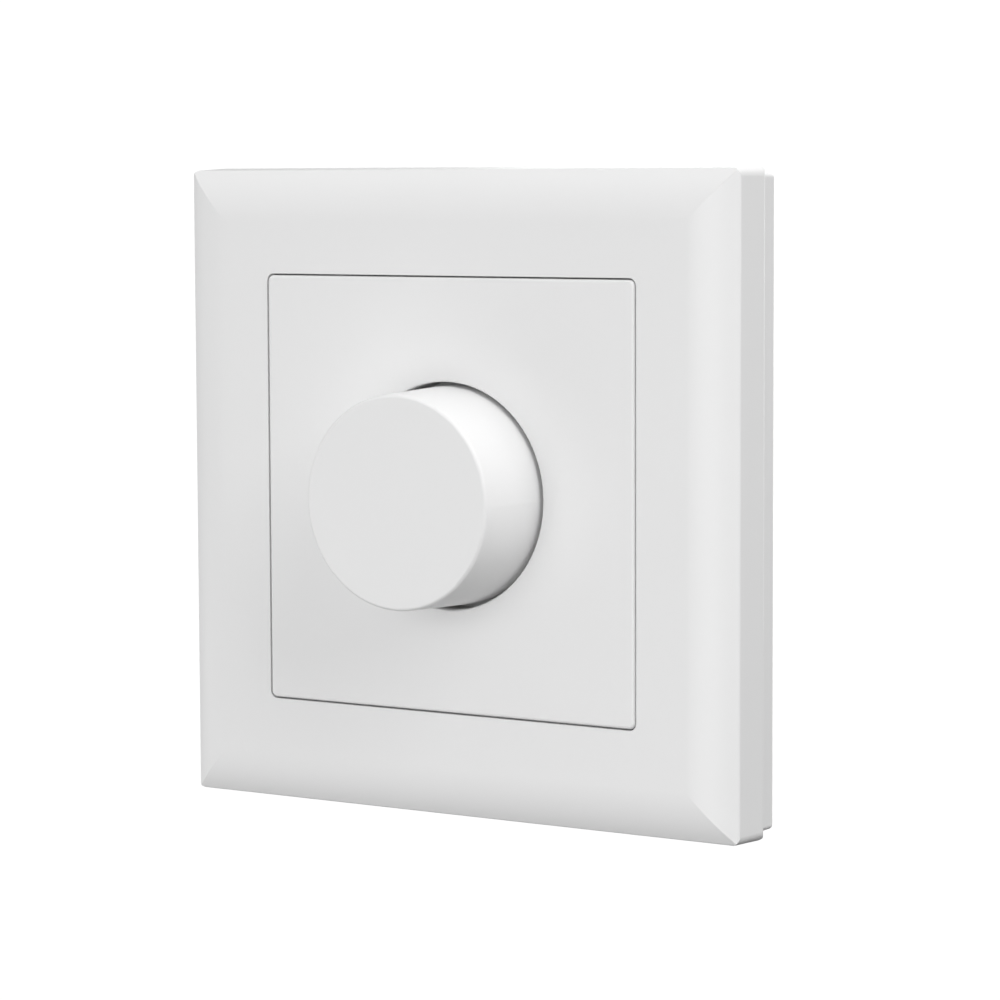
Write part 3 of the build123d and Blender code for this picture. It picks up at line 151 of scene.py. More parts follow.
class InsideSettings(bpy.types.PropertyGroup):
    """The pieces inside the case."""

    board_green: colour("Board", "Colour of the board's lacquer", "#1f5a35")
    track_green: colour("Tracks", "Colour of the lacquer over the board's copper", "#2f7a48")
    core_yellow: colour("Core", "Colour of the choke's core", "#cfae33")
    enamel: colour("Wire", "Colour of the choke's enamelled wire", "#b8642f")
    capacitor_blue: colour("Capacitor", "Colour of the box-shaped capacitor", "#2c5fa0")
    stripe_grey: colour("Stripe", "Colour of the stripe on the round capacitor", "#a9adb0")
    pad_grey: colour("Pads", "Colour of the insulating pads", "#9a9c9e")
    phenolic_brown: colour("Track board", "Colour of the disc under the carbon", "#5a3d24")
    carbon_black: colour("Carbon", "Colour of the carbon track", "#101011")
    glass: colour("Glass", "Colour of the fuse's glass", "#f4f9f8")
    spring_wire: length("Spring wire", "Diameter of the spring's wire", 0.4)
    spring_turns: amount("Spring turns", "Number of turns of the spring", 3.5, least=2.0)
    closed_turns: amount("Closed turns", "Turns that lie flat at each end", 0.5)
    coil_bore: length("Core bore", "Radius of the hole in the choke's core", 4.5)
    coil_turns: IntProperty(
        name="Coil turns", description="Turns of wire round the core", default=28, min=3
    )
    leg_pitch: length("Leg pitch", "Distance between a power switch's legs", 2.54)
    leg_length: length("Leg length", "Length of a power switch's bare legs", 2.4)
    leg_centre: length("Leg height", "Height of a leg's middle above its lower end", 0.4)
    joint_radius: length("Solder radius", "Radius of a solder joint's foot", 1.05)
    joint_height: length("Solder height", "Height of a solder joint", 0.7)


class StageSettings(bpy.types.PropertyGroup):
    """The studio: camera, floor and light."""

    camera_place: FloatVectorProperty(
        name="Camera place", description="Where the camera stands", subtype="TRANSLATION",
        unit="LENGTH", size=3, default=(0.24255, -0.37746, 0.03917),
    )
    heading: angle("Heading", "Camera's turn to the left from straight at the wall", 32.682)
    pitch: angle("Pitch", "Camera's tilt up from level", -5.169)
    roll: angle("Roll", "Camera's turn about its own line of sight", -0.226)
    lens: FloatProperty(
        name="Lens", description="Focal length on a 36 mm wide sensor", subtype="DISTANCE_CAMERA",
        unit="CAMERA", default=126.862,
    )
    floor_drop: length("Floor", "How far the floor lies below the dimmer's middle", 500.0)
    floor_colour: colour("Floor colour", "Colour of the floor", "#ffffff")
    # The floor's darker patch under the dimmer is painted shade: its glow is lowered there.
    pool: length("Pool", "How far the floor's darker pool reaches", 1600.0)
    shade_pool_core: length("Pool core", "Radius of the pool's darkest part", 300.0)
    shade_pool_glow: amount("Pool glow", "Brightness of the pool's darkest part", 0.62)
    backdrop: amount("Backdrop", "Brightness of the backdrop and the far floor", 1.05)
    sky: amount("Sky", "Light from straight above", 0.53)
    reach: length("Softbox distance", "How far each softbox stands from the dimmer", 1150.0)
    width: length("Softbox width", "Width of each softbox", 900.0)
    front_power: power("Front light", "Power of the softbox straight in front", 5.6)
    right_power: power("Right light", "Power of the softbox high on the right", 9.2)
    low_power: power("Low light", "Power of the softbox low on the left", 2.8)
    left_power: power("Left light", "Power of the softbox on the left", 1.5)
    rear_power: power("Rear light", "Power of the softbox behind the dimmer", 5.0)


def add(tree, kind, inputs=None, **choices):
    """Adds a node: choices are its own settings, inputs its sockets, each a value or a socket."""
    node = tree.nodes.new(kind)
    for name, value in choices.items():
        setattr(node, name, value)
    for name, value in (inputs or {}).items():
        if isinstance(value, bpy.types.NodeSocket):
            tree.links.new(value, node.inputs[name])
        else:
            node.inputs[name].default_value = value
    return node


def surface(name, tint, roughness, metallic=0.0, **sockets):
    """A new material with one Principled shader, as (material, tree, shader, Object coordinates)."""
    material = bpy.data.materials.new(name)
    material.use_nodes = True
    tree = material.node_tree
    tree.nodes.clear()
    values = {"Base Color": (*tint, 1.0), "Roughness": roughness, "Metallic": metallic}
    values.update({socket.replace("_", " "): value for socket, value in sockets.items()})
    shader = add(tree, "ShaderNodeBsdfPrincipled", values)
    add(tree, "ShaderNodeOutputMaterial", {"Surface": shader.outputs["BSDF"]})
    place = add(tree, "ShaderNodeTexCoord").outputs["Object"]
    return material, tree, shader, place


def noise(tree, place, size, detail=2.0):
    """Noise from 0 to 1, in patches of about this size."""
    sockets = {"Vector": place, "Scale": 1 / size, "Detail": detail}
    return add(tree, "ShaderNodeTexNoise", sockets).outputs["Fac"]


def bands(tree, place, period, direction):
    """Waves from 0 to 1 along one direction, one in each period."""
    sockets = {"Vector": place, "Scale": WAVE_PERIOD / period}
    return add(
        tree, "ShaderNodeTexWave", sockets, wave_type="BANDS", bands_direction=direction
    ).outputs["Fac"]


def result(tree, operation, *values):
    """What a Math node makes of its values, each a number or a socket."""
    sockets = dict(enumerate(values))
    return add(tree, "ShaderNodeMath", sockets, operation=operation).outputs["Value"]


def distance(tree, place, axes):
    """Distance from the origin along the axes that are given as 1 and not as 0."""
    flat = add(tree, "ShaderNodeMapping", {"Vector": place, "Scale": axes}).outputs["Vector"]
    return add(tree, "ShaderNodeVectorMath", {0: flat}, operation="LENGTH").outputs["Value"]


def relief(tree, shader, height, depth, share=1.0):
    """Raises the surface by height, a socket from 0 to 1, with its full height depth in metres."""
    bump = add(
        tree, "ShaderNodeBump", {"Strength": share, "Distance": depth, "Height": height}
    )
    tree.links.new(bump.outputs["Normal"], shader.inputs["Normal"])


def roughened(tree, shader, share, low, high):
    """Carries the roughness from low to high by share, a socket from 0 to 1."""
    carried = add(tree, "ShaderNodeMapRange", {"Value": share, "To Min": low, "To Max": high})
    tree.links.new(carried.outputs["Result"], shader.inputs["Roughness"])


def blend(tree, share, first, second):
    """A colour from first to second by share; each is a socket or red, green and blue."""
    first, second = [
        end if isinstance(end, bpy.types.NodeSocket) else (*end, 1.0) for end in (first, second)
    ]
    return add(
        tree, "ShaderNodeMix", {"Factor": share, MIX_FIRST: first, MIX_SECOND: second},
        data_type="RGBA",
    ).outputs[MIX_RESULT]


def tinted(tree, shader, share, dark, light):
    """Colours the surface from dark to light by share, a socket from 0 to 1."""
    tree.links.new(blend(tree, share, dark, light), shader.inputs["Base Color"])


def shade(tint, share):
    """A colour made darker or lighter by a share."""
    return tuple(min(1.0, c * share) for c in tint)


def moulded(name, tint, roughness, grain, depth, ior, drift=0.012):
    """A moulded plastic: a spark-eroded mould leaves a fine grain that softens what it reflects,
    and the pigment drifts very slightly from place to place."""
    material, tree, shader, place = surface(name, tint, roughness, IOR=ior)
    grains = noise(tree, place, grain)
    cloud = noise(tree, place, PIGMENT_CLOUD)
    tinted(tree, shader, cloud, shade(tint, 1 - drift), shade(tint, 1 + drift))
    roughened(tree, shader, grains, roughness - 0.04, roughness + 0.04)
    relief(tree, shader, grains, depth)
    return material


def lined(name, tint, roughness, along, width, depth, **sockets):
    """A rolled, drawn or brushed metal: fine lines along an axis that stretch its highlights."""
    material, tree, shader, place = surface(name, tint, roughness, 1.0, **sockets)
    squeeze = [1 / width] * 3
    squeeze["XYZ".index(along)] = 1 / (LINE_STRETCH * width)
    stretched = add(tree, "ShaderNodeMapping", {"Vector": place, "Scale": squeeze}).outputs["Vector"]
    lines = noise(tree, stretched, 1.0, detail=3.0)
    tinted(tree, shader, lines, shade(tint, 0.94), shade(tint, 1.05))
    roughened(tree, shader, lines, roughness - 0.06, roughness + 0.08)
    relief(tree, shader, lines, depth)
    return material


def ringed(name, tint, roughness, pitch, depth):
    """A turned metal or a thread: rings round the shaft's axis, one in each pitch."""
    material, tree, shader, place = surface(name, tint, roughness, 1.0)
    rings = bands(tree, place, pitch, "Y")
    # On a thread the darker bands are painted shade in the roots and the lighter ones a painted
    # highlight on the crests; on turned metal they are the tool's rings.
    tinted(tree, shader, rings, shade(tint, 0.9), shade(tint, 1.05))
    relief(tree, shader, rings, depth)
    return material


def dress(material, *names):
    """Gives CAD nodes a material in the slots that they came with."""
    for name in names:
        piece = NODES[name]
        if not piece.material_slots:
            piece.data.materials.append(material)
        for slot in piece.material_slots:
            slot.material = material


def grid_faces(rows, columns, closed_rows=False, closed_columns=False):
    """The four-cornered faces of a grid of points, which may close on itself in either direction."""
    row = np.arange(rows if closed_rows else rows - 1)[:, None]
    column = np.arange(columns if closed_columns else columns - 1)[None, :]
    next_row = (row + 1) % rows
    next_column = (column + 1) % columns
    corners = [
        row * columns + column,
        row * columns + next_column,
        next_row * columns + next_column,
        next_row * columns + column,
    ]
    return np.stack(corners, -1).reshape(-1, 4)


def make_piece(name, points, faces, material, body):
    """A smooth mesh object made from arrays, which rides on a body."""
    mesh = bpy.data.meshes.new(name)
    mesh.from_pydata(points.reshape(-1, 3).tolist(), [], faces)
    mesh.validate()
    mesh.polygons.foreach_set("use_smooth", np.ones(len(mesh.polygons), bool))
    mesh.materials.append(material)
    mesh.update()
    piece = bpy.data.objects.new(name, mesh)
    bpy.context.scene.collection.objects.link(piece)
    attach(piece, body)
    return piece


def unit(vectors):
    """Vectors at length one."""
    return vectors / np.linalg.norm(vectors, axis=-1, keepdims=True)


def wire(path, outward, radius, sides):
    """A round wire along a path: point(u, v) = path(u) + radius (cos v outward(u) + sin v across(u)),
    where across is square to both the path's tangent and outward."""
    tangent = unit(np.gradient(path, axis=0))
    outward = unit(outward - (outward * tangent).sum(-1, keepdims=True) * tangent)
    across = np.cross(outward, tangent)
    around = np.linspace(0, 2 * np.pi, sides, endpoint=False)
    ring = (
        np.cos(around)[None, :, None] * outward[:, None, :]
        + np.sin(around)[None, :, None] * across[:, None, :]
    )
    return path[:, None, :] + radius * ring


def capped_wire(path, outward, radius, sides):
    """A wire as wire() gives it, with a flat disc at each end: (points, faces)."""
    points = wire(path, outward, radius, sides)
    count = len(path)
    faces = grid_faces(count, sides, closed_columns=True).tolist()
    ends = np.concatenate([points.reshape(-1, 3), path[:1], path[-1:]])
    first, last = count * sides, count * sides + 1
    base = (count - 1) * sides
    faces += [[first, (i + 1) % sides, i] for i in range(sides)]
    faces += [[last, base + i, base + (i + 1) % sides] for i in range(sides)]
    return ends, faces


class DIMMER_OT_mouldings(bpy.types.Operator):
    """Surfaces the frame, the plate and the layer behind them."""

    bl_idname = "dimmer.mouldings"
    bl_label = "Frame and Plate"

    def execute(self, context):
        settings = context.scene.dimmer_mouldings
        # White ABS with a silk skin: even, bright and slightly soft in its highlights.
        # A real spark grain is near 0.1 mm; it is drawn wider so that it shows.
        silk = moulded(
            "white_abs_silk", settings.white, roughness=0.38, grain=settings.grain,
            depth=0.003 * MM, ior=1.53,
        )
        dress(silk, "cover_frame", "centre_plate", "backing_frame")
        return {"FINISHED"}


class DIMMER_OT_knob(bpy.types.Operator):
    """Surfaces the knob."""

    bl_idname = "dimmer.knob"
    bl_label = "Knob"

    def execute(self, context):
        settings = context.scene.dimmer_mouldings
        # The knob's ABS has a drier skin than the frame's, so its side shades evenly.
        dry = moulded(
            "white_abs_fine_matt", settings.knob_white, roughness=0.46, grain=settings.grain,
            depth=0.003 * MM, ior=1.53,
        )
        dress(dry, "knob")
        return {"FINISHED"}


class DIMMER_OT_shaft(bpy.types.Operator):
    """Surfaces the shaft, its clip and the knob's clamp ring."""

    bl_idname = "dimmer.shaft"
    bl_label = "Shaft"

    def execute(self, context):
        settings = context.scene.dimmer_metals
        # Turned aluminium: bright, with fine rings from the tool.
        turned = ringed(
            "aluminium_turned", settings.aluminium, roughness=0.28, pitch=0.15 * MM,
            depth=0.004 * MM,
        )
        dress(turned, "shaft")
        # Bright hardened strip: darker than zinc, with lines from rolling.
        strip = lined(
            "spring_steel_strip", settings.spring_steel, roughness=0.3, along="X",
            width=0.08 * MM, depth=0.002 * MM,
        )
        dress(strip, "shaft_clip", "knob_clamp_ring")
        return {"FINISHED"}


class DIMMER_OT_fixings(bpy.types.Operator):
    """Surfaces the bushing, the nut, the washer and the case screws."""

    bl_idname = "dimmer.fixings"
    bl_label = "Fixings"

    def execute(self, context):
        settings = context.scene.dimmer_metals
        # Brass with a cut thread: painted shade in the root and a painted highlight on the crest at
        # each pitch.
        thread = ringed(
            "brass_threaded", settings.brass, roughness=0.3, pitch=settings.bushing_pitch,
            depth=0.12 * MM,
        )
        dress(thread, "threaded_bushing")
        # Brass from hexagon bar: plain flats with faint drawing lines.
        bar = lined(
            "brass_drawn", settings.brass, roughness=0.32, along="Y", width=0.1 * MM,
            depth=0.002 * MM,
        )
        dress(bar, "fixing_nut")
        # Zinc over a cut thread: a bluish grey, with painted shade in the roots and a painted highlight
        # on the crests.
        screw = ringed(
            "zinc_plated_screw", settings.zinc, roughness=0.34, pitch=settings.screw_pitch,
            depth=0.1 * MM,
        )
        dress(screw, "case_screws")
        # Zinc over stamped sheet: the same grey, with faint lines that draw its shine out.
        stamped = lined(
            "zinc_plated_stamping", settings.zinc, roughness=0.36, along="Z", width=0.15 * MM,
            depth=0.002 * MM,
        )
        dress(stamped, "lock_washer")
        return {"FINISHED"}


class DIMMER_OT_support_ring(bpy.types.Operator):
    """Surfaces the support ring."""

    bl_idname = "dimmer.support_ring"
    bl_label = "Support Ring"

    def execute(self, context):
        settings = context.scene.dimmer_metals
        # Zinc-plated steel sheet: a bluish grey with small crystals that catch the light unevenly.
        crystal = 1.1 * MM
        material, tree, shader, place = surface(
            "zinc_plated_sheet", settings.zinc, roughness=0.36, metallic=1.0
        )
        crystals = add(
            tree, "ShaderNodeTexVoronoi", {"Vector": place, "Scale": 1 / crystal}, feature="F1"
        ).outputs["Color"]
        share = add(tree, "ShaderNodeSeparateColor", {"Color": crystals}).outputs["Red"]
        tinted(tree, shader, share, shade(settings.zinc, 0.93), shade(settings.zinc, 1.04))
        roughened(tree, shader, share, low=0.34, high=0.44)
        relief(tree, shader, noise(tree, place, 0.2 * MM), depth=0.003 * MM)
        dress(material, "support_ring")
        return {"FINISHED"}


class DIMMER_OT_case(bpy.types.Operator):
    """Surfaces the insert's cover and the case behind it."""

    bl_idname = "dimmer.case"
    bl_label = "Case"

    def execute(self, context):
        settings = context.scene.dimmer_mouldings
        # Glass-filled polyamide: nearly black, dull and a little rough to the eye.
        black = moulded(
            "polyamide_glass_filled", settings.case_black, roughness=0.56,
            grain=settings.case_grain, depth=0.012 * MM, ior=1.53, drift=0.08,
        )
        dress(black, "rear_case")
        # Polycarbonate: a plain light grey with a soft shine.
        grey = moulded(
            "polycarbonate_grey", settings.cover_grey, roughness=0.48, grain=settings.case_grain,
            depth=0.008 * MM, ior=1.58,
        )
        dress(grey, "front_cover", "terminal_block")
        return {"FINISHED"}


class DIMMER_OT_cooling(bpy.types.Operator):
    """Surfaces the heat sink, the pads and the power switches."""

    bl_idname = "dimmer.cooling"
    bl_label = "Cooling"

    def execute(self, context):
        metals = context.scene.dimmer_metals
        inside = context.scene.dimmer_inside
        black = context.scene.dimmer_mouldings.part_black
        # Rolled aluminium sheet: pale, with long lines from the mill.
        sheet = lined(
            "aluminium_rolled", metals.aluminium, roughness=0.34, along="X", width=0.12 * MM,
            depth=0.002 * MM,
        )
        dress(sheet, "heat_sink")

        # Silicone on glass cloth: a dull grey with the cloth's weave showing through.
        pad, tree, shader, place = surface(
            "silicone_pad", inside.pad_grey, roughness=0.72, IOR=1.41
        )
        threads = [bands(tree, place, 0.5 * MM, direction) for direction in ("X", "Z")]
        weave = result(tree, "MAXIMUM", *threads)
        tinted(tree, shader, weave, shade(inside.pad_grey, 0.86), inside.pad_grey)
        relief(tree, shader, weave, depth=0.02 * MM)
        dress(pad, "insulating_pad_left", "insulating_pad_right")

        # Black epoxy with tinned legs: the body is matt, and below it the metal is bright.
        for name in ("power_switch_left", "power_switch_right"):
            leg_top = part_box(name)[0].z + inside.leg_length
            body, tree, shader, place = surface(
                f"epoxy_body_{name}", black, roughness=0.5, IOR=1.55
            )
            level = add(tree, "ShaderNodeSeparateXYZ", {"Vector": place}).outputs["Z"]
            is_leg = result(tree, "LESS_THAN", level, leg_top)
            tinted(tree, shader, is_leg, black, metals.solder)
            tree.links.new(is_leg, shader.inputs["Metallic"])
            fine = noise(tree, place, 0.25 * MM)
            roughened(tree, shader, fine, low=0.4, high=0.55)
            relief(tree, shader, fine, depth=0.004 * MM)
            dress(body, name)
        return {"FINISHED"}


class DIMMER_OT_potentiometer(bpy.types.Operator):
    """Surfaces the potentiometer's case, track, rotor and wiper."""

    bl_idname = "dimmer.potentiometer"
    bl_label = "Potentiometer"

    def execute(self, context):
        metals = context.scene.dimmer_metals
        inside = context.scene.dimmer_inside
        # Drawn steel cup: lines run along the draw.
        cup = lined(
            "zinc_plated_cup", metals.zinc, roughness=0.34, along="Y", width=0.12 * MM,
            depth=0.002 * MM,
        )
        dress(cup, "potentiometer_case")

        # Carbon on a phenolic disc: a dull black band with bare brown board inside and outside.
        low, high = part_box("resistive_track")
        outer = (high.x - low.x) / 2
        band_middle, band_half_width = 0.62 * outer, 0.16 * outer
        track, tree, shader, place = surface(
            "carbon_track", inside.phenolic_brown, roughness=0.6, IOR=1.55
        )
        radius = distance(tree, place, axes=(1.0, 0.0, 1.0))
        in_band = result(tree, "COMPARE", radius, band_middle, band_half_width)
        tinted(tree, shader, in_band, inside.phenolic_brown, inside.carbon_black)
        dress(track, "resistive_track")

        # Black acetal: smooth, with a greasy shine on its bearing faces.
        acetal = moulded(
            "acetal_black", context.scene.dimmer_mouldings.part_black, roughness=0.36,
            grain=0.4 * MM, depth=0.003 * MM, ior=1.48, drift=0.05,
        )
        dress(acetal, "potentiometer_rotor", "push_switch_body")
        # Phosphor bronze strip: a thin reddish gold line against the black.
        leaf = lined(
            "bronze_leaf", metals.bronze, roughness=0.3, along="Z", width=0.08 * MM,
            depth=0.001 * MM,
        )
        dress(leaf, "wiper")
        return {"FINISHED"}


class DIMMER_OT_push_switch(bpy.types.Operator):
    """Surfaces the plunger and winds the spring, a fixed coil that rides on the insert."""

    bl_idname = "dimmer.push_switch"
    bl_label = "Push Switch"

    def execute(self, context):
        inside = context.scene.dimmer_inside
        # Natural acetal: a creamy, waxy white.
        waxy = moulded(
            "acetal_natural", context.scene.dimmer_mouldings.plunger_white, roughness=0.4,
            grain=0.4 * MM, depth=0.002 * MM, ior=1.48,
        )
        dress(waxy, "push_plunger")

        # Bright drawn spring wire: a hard narrow glint along each turn.
        drawn = lined(
            "spring_steel_wire", context.scene.dimmer_metals.spring_steel, roughness=0.26,
            along="Y", width=0.05 * MM, depth=0.001 * MM,
        )
        low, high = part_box("return_spring")
        radius = inside.spring_wire / 2
        points, faces = self.coil(inside, (high.x - low.x) / 2 - radius, low.y, high.y)
        spring = make_piece("coil_spring", points, faces, drawn, "insert")
        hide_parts("return_spring")
        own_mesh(spring)
        return {"FINISHED"}

    @staticmethod
    def coil(inside, radius, front, rear):
        """A compression spring: the wire turns round the Y axis at one radius and advances by its own
        thickness per turn in the closed turns and evenly in between."""
        steps_per_turn, sides = 48, 12
        turns, closed, thick = inside.spring_turns, inside.closed_turns, inside.spring_wire
        turn = np.linspace(0, turns, int(steps_per_turn * turns))
        flat = np.minimum(turn, closed) + np.maximum(turn - (turns - closed), 0)
        free = np.clip(turn - closed, 0, turns - 2 * closed)
        pitch = (rear - front - thick * (1 + 2 * closed)) / (turns - 2 * closed)
        y = front + thick / 2 + thick * flat + pitch * free
        angles = 2 * np.pi * turn
        outward = np.stack([np.cos(angles), np.zeros_like(angles), np.sin(angles)], -1)
        path = radius * outward + np.stack([0 * y, y, 0 * y], -1)
        return capped_wire(path, outward, thick / 2, sides)


class DIMMER_OT_board(bpy.types.Operator):
    """Surfaces the circuit board and adds the solder round the power switches' legs."""

    bl_idname = "dimmer.board"
    bl_label = "Circuit Board"

    def execute(self, context):
        inside = context.scene.dimmer_inside
        # Green lacquer over glass board: where copper lies under it, the green is lighter and raised.
        cell, fold, edge = 4.0 * MM, 0.22, 0.11
        material, tree, shader, place = surface(
            "lacquered_board", inside.board_green, roughness=0.3, IOR=1.5
        )
        cells = add(
            tree, "ShaderNodeTexVoronoi", {"Vector": place, "Scale": 1 / cell},
            distance="CHEBYCHEV", feature="F1",
        ).outputs["Distance"]
        copper = result(tree, "GREATER_THAN", result(tree, "PINGPONG", cells, fold), edge)
        tinted(tree, shader, copper, inside.board_green, inside.track_green)
        relief(tree, shader, copper, depth=0.035 * MM, share=0.6)
        dress(material, "circuit_board")

        # Solder: a bright fillet that climbs each leg.
        solder, tree, shader, place = surface(
            "solder_fillet", context.scene.dimmer_metals.solder, roughness=0.24, metallic=1.0
        )
        ripple = noise(tree, place, 0.5 * MM)
        roughened(tree, shader, ripple, low=0.16, high=0.34)
        relief(tree, shader, ripple, depth=0.01 * MM)
        points, faces = self.fillets(inside)
        make_piece("solder_joints", points, faces, solder, "insert")
        return {"FINISHED"}

    @staticmethod
    def fillets(inside):
        """One fillet for each leg, each a turned surface: its radius falls with height as a quarter
        circle does, from its foot on the board to its tip, and a flat disc closes each end."""
        levels, sides, drawn_in = 9, 20, 0.62
        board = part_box("circuit_board")[1].y
        centres = []
        for name in ("power_switch_left", "power_switch_right"):
            low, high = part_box(name)
            middle = (low.x + high.x) / 2
            level = low.z + inside.leg_centre
            centres += [(middle + step * inside.leg_pitch, 0.0, level) for step in (-1, 0, 1)]
        rise = np.linspace(0, np.pi / 2, levels)
        reach = inside.joint_radius * np.append([0.0], 1 - drawn_in * np.sin(rise))
        height = inside.joint_height * np.append([0.0], 1 - np.cos(rise))
        reach, height = np.append(reach, 0.0), np.append(height, inside.joint_height)
        around = np.linspace(0, 2 * np.pi, sides, endpoint=False)
        x = reach[:, None] * np.cos(around)
        z = reach[:, None] * np.sin(around)
        y = np.broadcast_to(height[:, None], x.shape)
        one = np.stack([x, board + y, z], -1)
        points = one[None] + np.array(centres)[:, None, None, :]
        faces = grid_faces(len(reach), sides, closed_columns=True)
        offsets = np.arange(len(centres))[:, None, None] * one[..., 0].size
        return points, (faces[None] + offsets).reshape(-1, 4).tolist()


class DIMMER_OT_choke(bpy.types.Operator):
    """Surfaces the choke's core and winds its wire."""

    bl_idname = "dimmer.choke"
    bl_label = "Choke"

    def execute(self, context):
        inside = context.scene.dimmer_inside
        # Iron powder under yellow epoxy: a glossy coat with the slight orange peel of dipping.
        core = moulded(
            "epoxy_coated_core", inside.core_yellow, roughness=0.3, grain=1.2 * MM,
            depth=0.02 * MM, ior=1.55, drift=0.05,
        )
        dress(core, "choke_core")
        # Enamelled copper: metal seen through a glossy amber coat.
        copper = lined(
            "copper_enamelled", inside.enamel, roughness=0.32, along="Y", width=0.1 * MM,
            depth=0.001 * MM, Coat_Weight=0.8, Coat_Roughness=0.08,
        )
        points = self.winding(inside)
        faces = grid_faces(*points.shape[:2], closed_rows=True, closed_columns=True).tolist()
        winding = make_piece("choke_wire", points, faces, copper, "insert")
        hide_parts("choke_winding")
        return {"FINISHED"}

    @staticmethod
    def winding(inside):
        """A wire that goes round the ring's section while the section goes once round the ring. The
        section's path is a superellipse of power 5, a rectangle with rounded corners."""
        steps_per_turn, sides, order = 72, 10, 5
        gap, slimness = 0.03 * MM, 0.98
        low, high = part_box("choke_core")
        thick = low.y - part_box("choke_winding")[0].y - gap
        bore, rim = inside.coil_bore, (high.x - low.x) / 2
        half_width = (rim - bore + thick) / 2
        half_height = (high.y - low.y + thick) / 2
        turns = inside.coil_turns
        step = np.linspace(0, 2 * np.pi, steps_per_turn * turns, endpoint=False)
        section = turns * step
        across = np.sign(np.cos(section)) * np.abs(np.cos(section)) ** (2 / order)
        along = np.sign(np.sin(section)) * np.abs(np.sin(section)) ** (2 / order)
        away = unit(
            np.stack([np.sign(across) * np.abs(across) ** (order - 1) / half_width,
                      np.sign(along) * np.abs(along) ** (order - 1) / half_height], -1)
        )
        radius = (rim + bore) / 2 + half_width * across
        centre = ((low.x + high.x) / 2, (low.y + high.y) / 2, (low.z + high.z) / 2)
        path = np.stack([radius * np.cos(step), half_height * along, radius * np.sin(step)], -1)
        outward = np.stack([away[:, 0] * np.cos(step), away[:, 1], away[:, 0] * np.sin(step)], -1)
        closed = np.concatenate([path[-1:], path, path[:1]])
        around = np.concatenate([outward[-1:], outward, outward[:1]])
        return wire(closed + centre, around, thick / 2 * slimness, sides)[1:-1]


class DIMMER_OT_components(bpy.types.Operator):
    """Surfaces the capacitors and the fuse."""

    bl_idname = "dimmer.components"
    bl_label = "Components"

    def execute(self, context):
        inside = context.scene.dimmer_inside
        metals = context.scene.dimmer_metals
        black = context.scene.dimmer_mouldings.part_black
        # Moulded polyester box: a clear blue with a light skin.
        box = moulded(
            "polyester_blue", inside.capacitor_blue, roughness=0.4, grain=0.5 * MM,
            depth=0.006 * MM, ior=1.57, drift=0.04,
        )
        dress(box, "filter_capacitor")

        # Shrink sleeve over an aluminium can: black and glossy, with a pale stripe down one side,
        # and the bare metal end.
        low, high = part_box("smoothing_capacitor")
        stripe_edge, sleeve_end = low.x + 1.2 * MM, high.y - 0.35 * MM
        sleeve, tree, shader, place = surface("shrink_sleeve", black, roughness=0.28, IOR=1.53)
        parts = add(tree, "ShaderNodeSeparateXYZ", {"Vector": place}).outputs
        in_stripe = result(tree, "LESS_THAN", parts["X"], stripe_edge)
        is_bare = result(tree, "GREATER_THAN", parts["Y"], sleeve_end)
        striped = blend(tree, in_stripe, black, inside.stripe_grey)
        tinted(tree, shader, is_bare, striped, metals.aluminium)
        tree.links.new(is_bare, shader.inputs["Metallic"])
        dress(sleeve, "smoothing_capacitor")

        # Clear glass tube: hardly seen but for its bright edges.
        glass, *_ = surface(
            "soda_glass", inside.glass, roughness=0.03, IOR=1.52, Transmission_Weight=1.0
        )
        dress(glass, "fuse_glass")
        # Nickel plate: a warm grey, the brightest metal on the board.
        caps = lined(
            "nickel_plated", metals.nickel, roughness=0.22, along="X", width=0.1 * MM,
            depth=0.001 * MM,
        )
        dress(caps, "fuse_caps")
        # Bronze strip: a reddish gold with faint lines from rolling.
        clips = lined(
            "bronze_strip", metals.bronze, roughness=0.3, along="X", width=0.1 * MM,
            depth=0.001 * MM,
        )
        dress(clips, "fuse_clips")
        return {"FINISHED"}


class DIMMER_OT_terminals(bpy.types.Operator):
    """Surfaces the terminal cages and their screws."""

    bl_idname = "dimmer.terminals"
    bl_label = "Terminals"

    def execute(self, context):
        metals = context.scene.dimmer_metals
        # Brass cut from drawn section: lines run along the wire's way.
        cage = lined(
            "brass_section", metals.brass, roughness=0.34, along="Y", width=0.12 * MM,
            depth=0.002 * MM,
        )
        dress(cage, *[f"terminal_cage_{number}" for number in (1, 2, 3)])
        # Zinc over a slotted head: a bluish grey with the lines of the slot's cutter.
        screw = lined(
            "zinc_plated_slotted", metals.zinc, roughness=0.32, along="X", width=0.1 * MM,
            depth=0.002 * MM,
        )
        dress(screw, *[f"terminal_screw_{number}" for number in (1, 2, 3)])
        return {"FINISHED"}


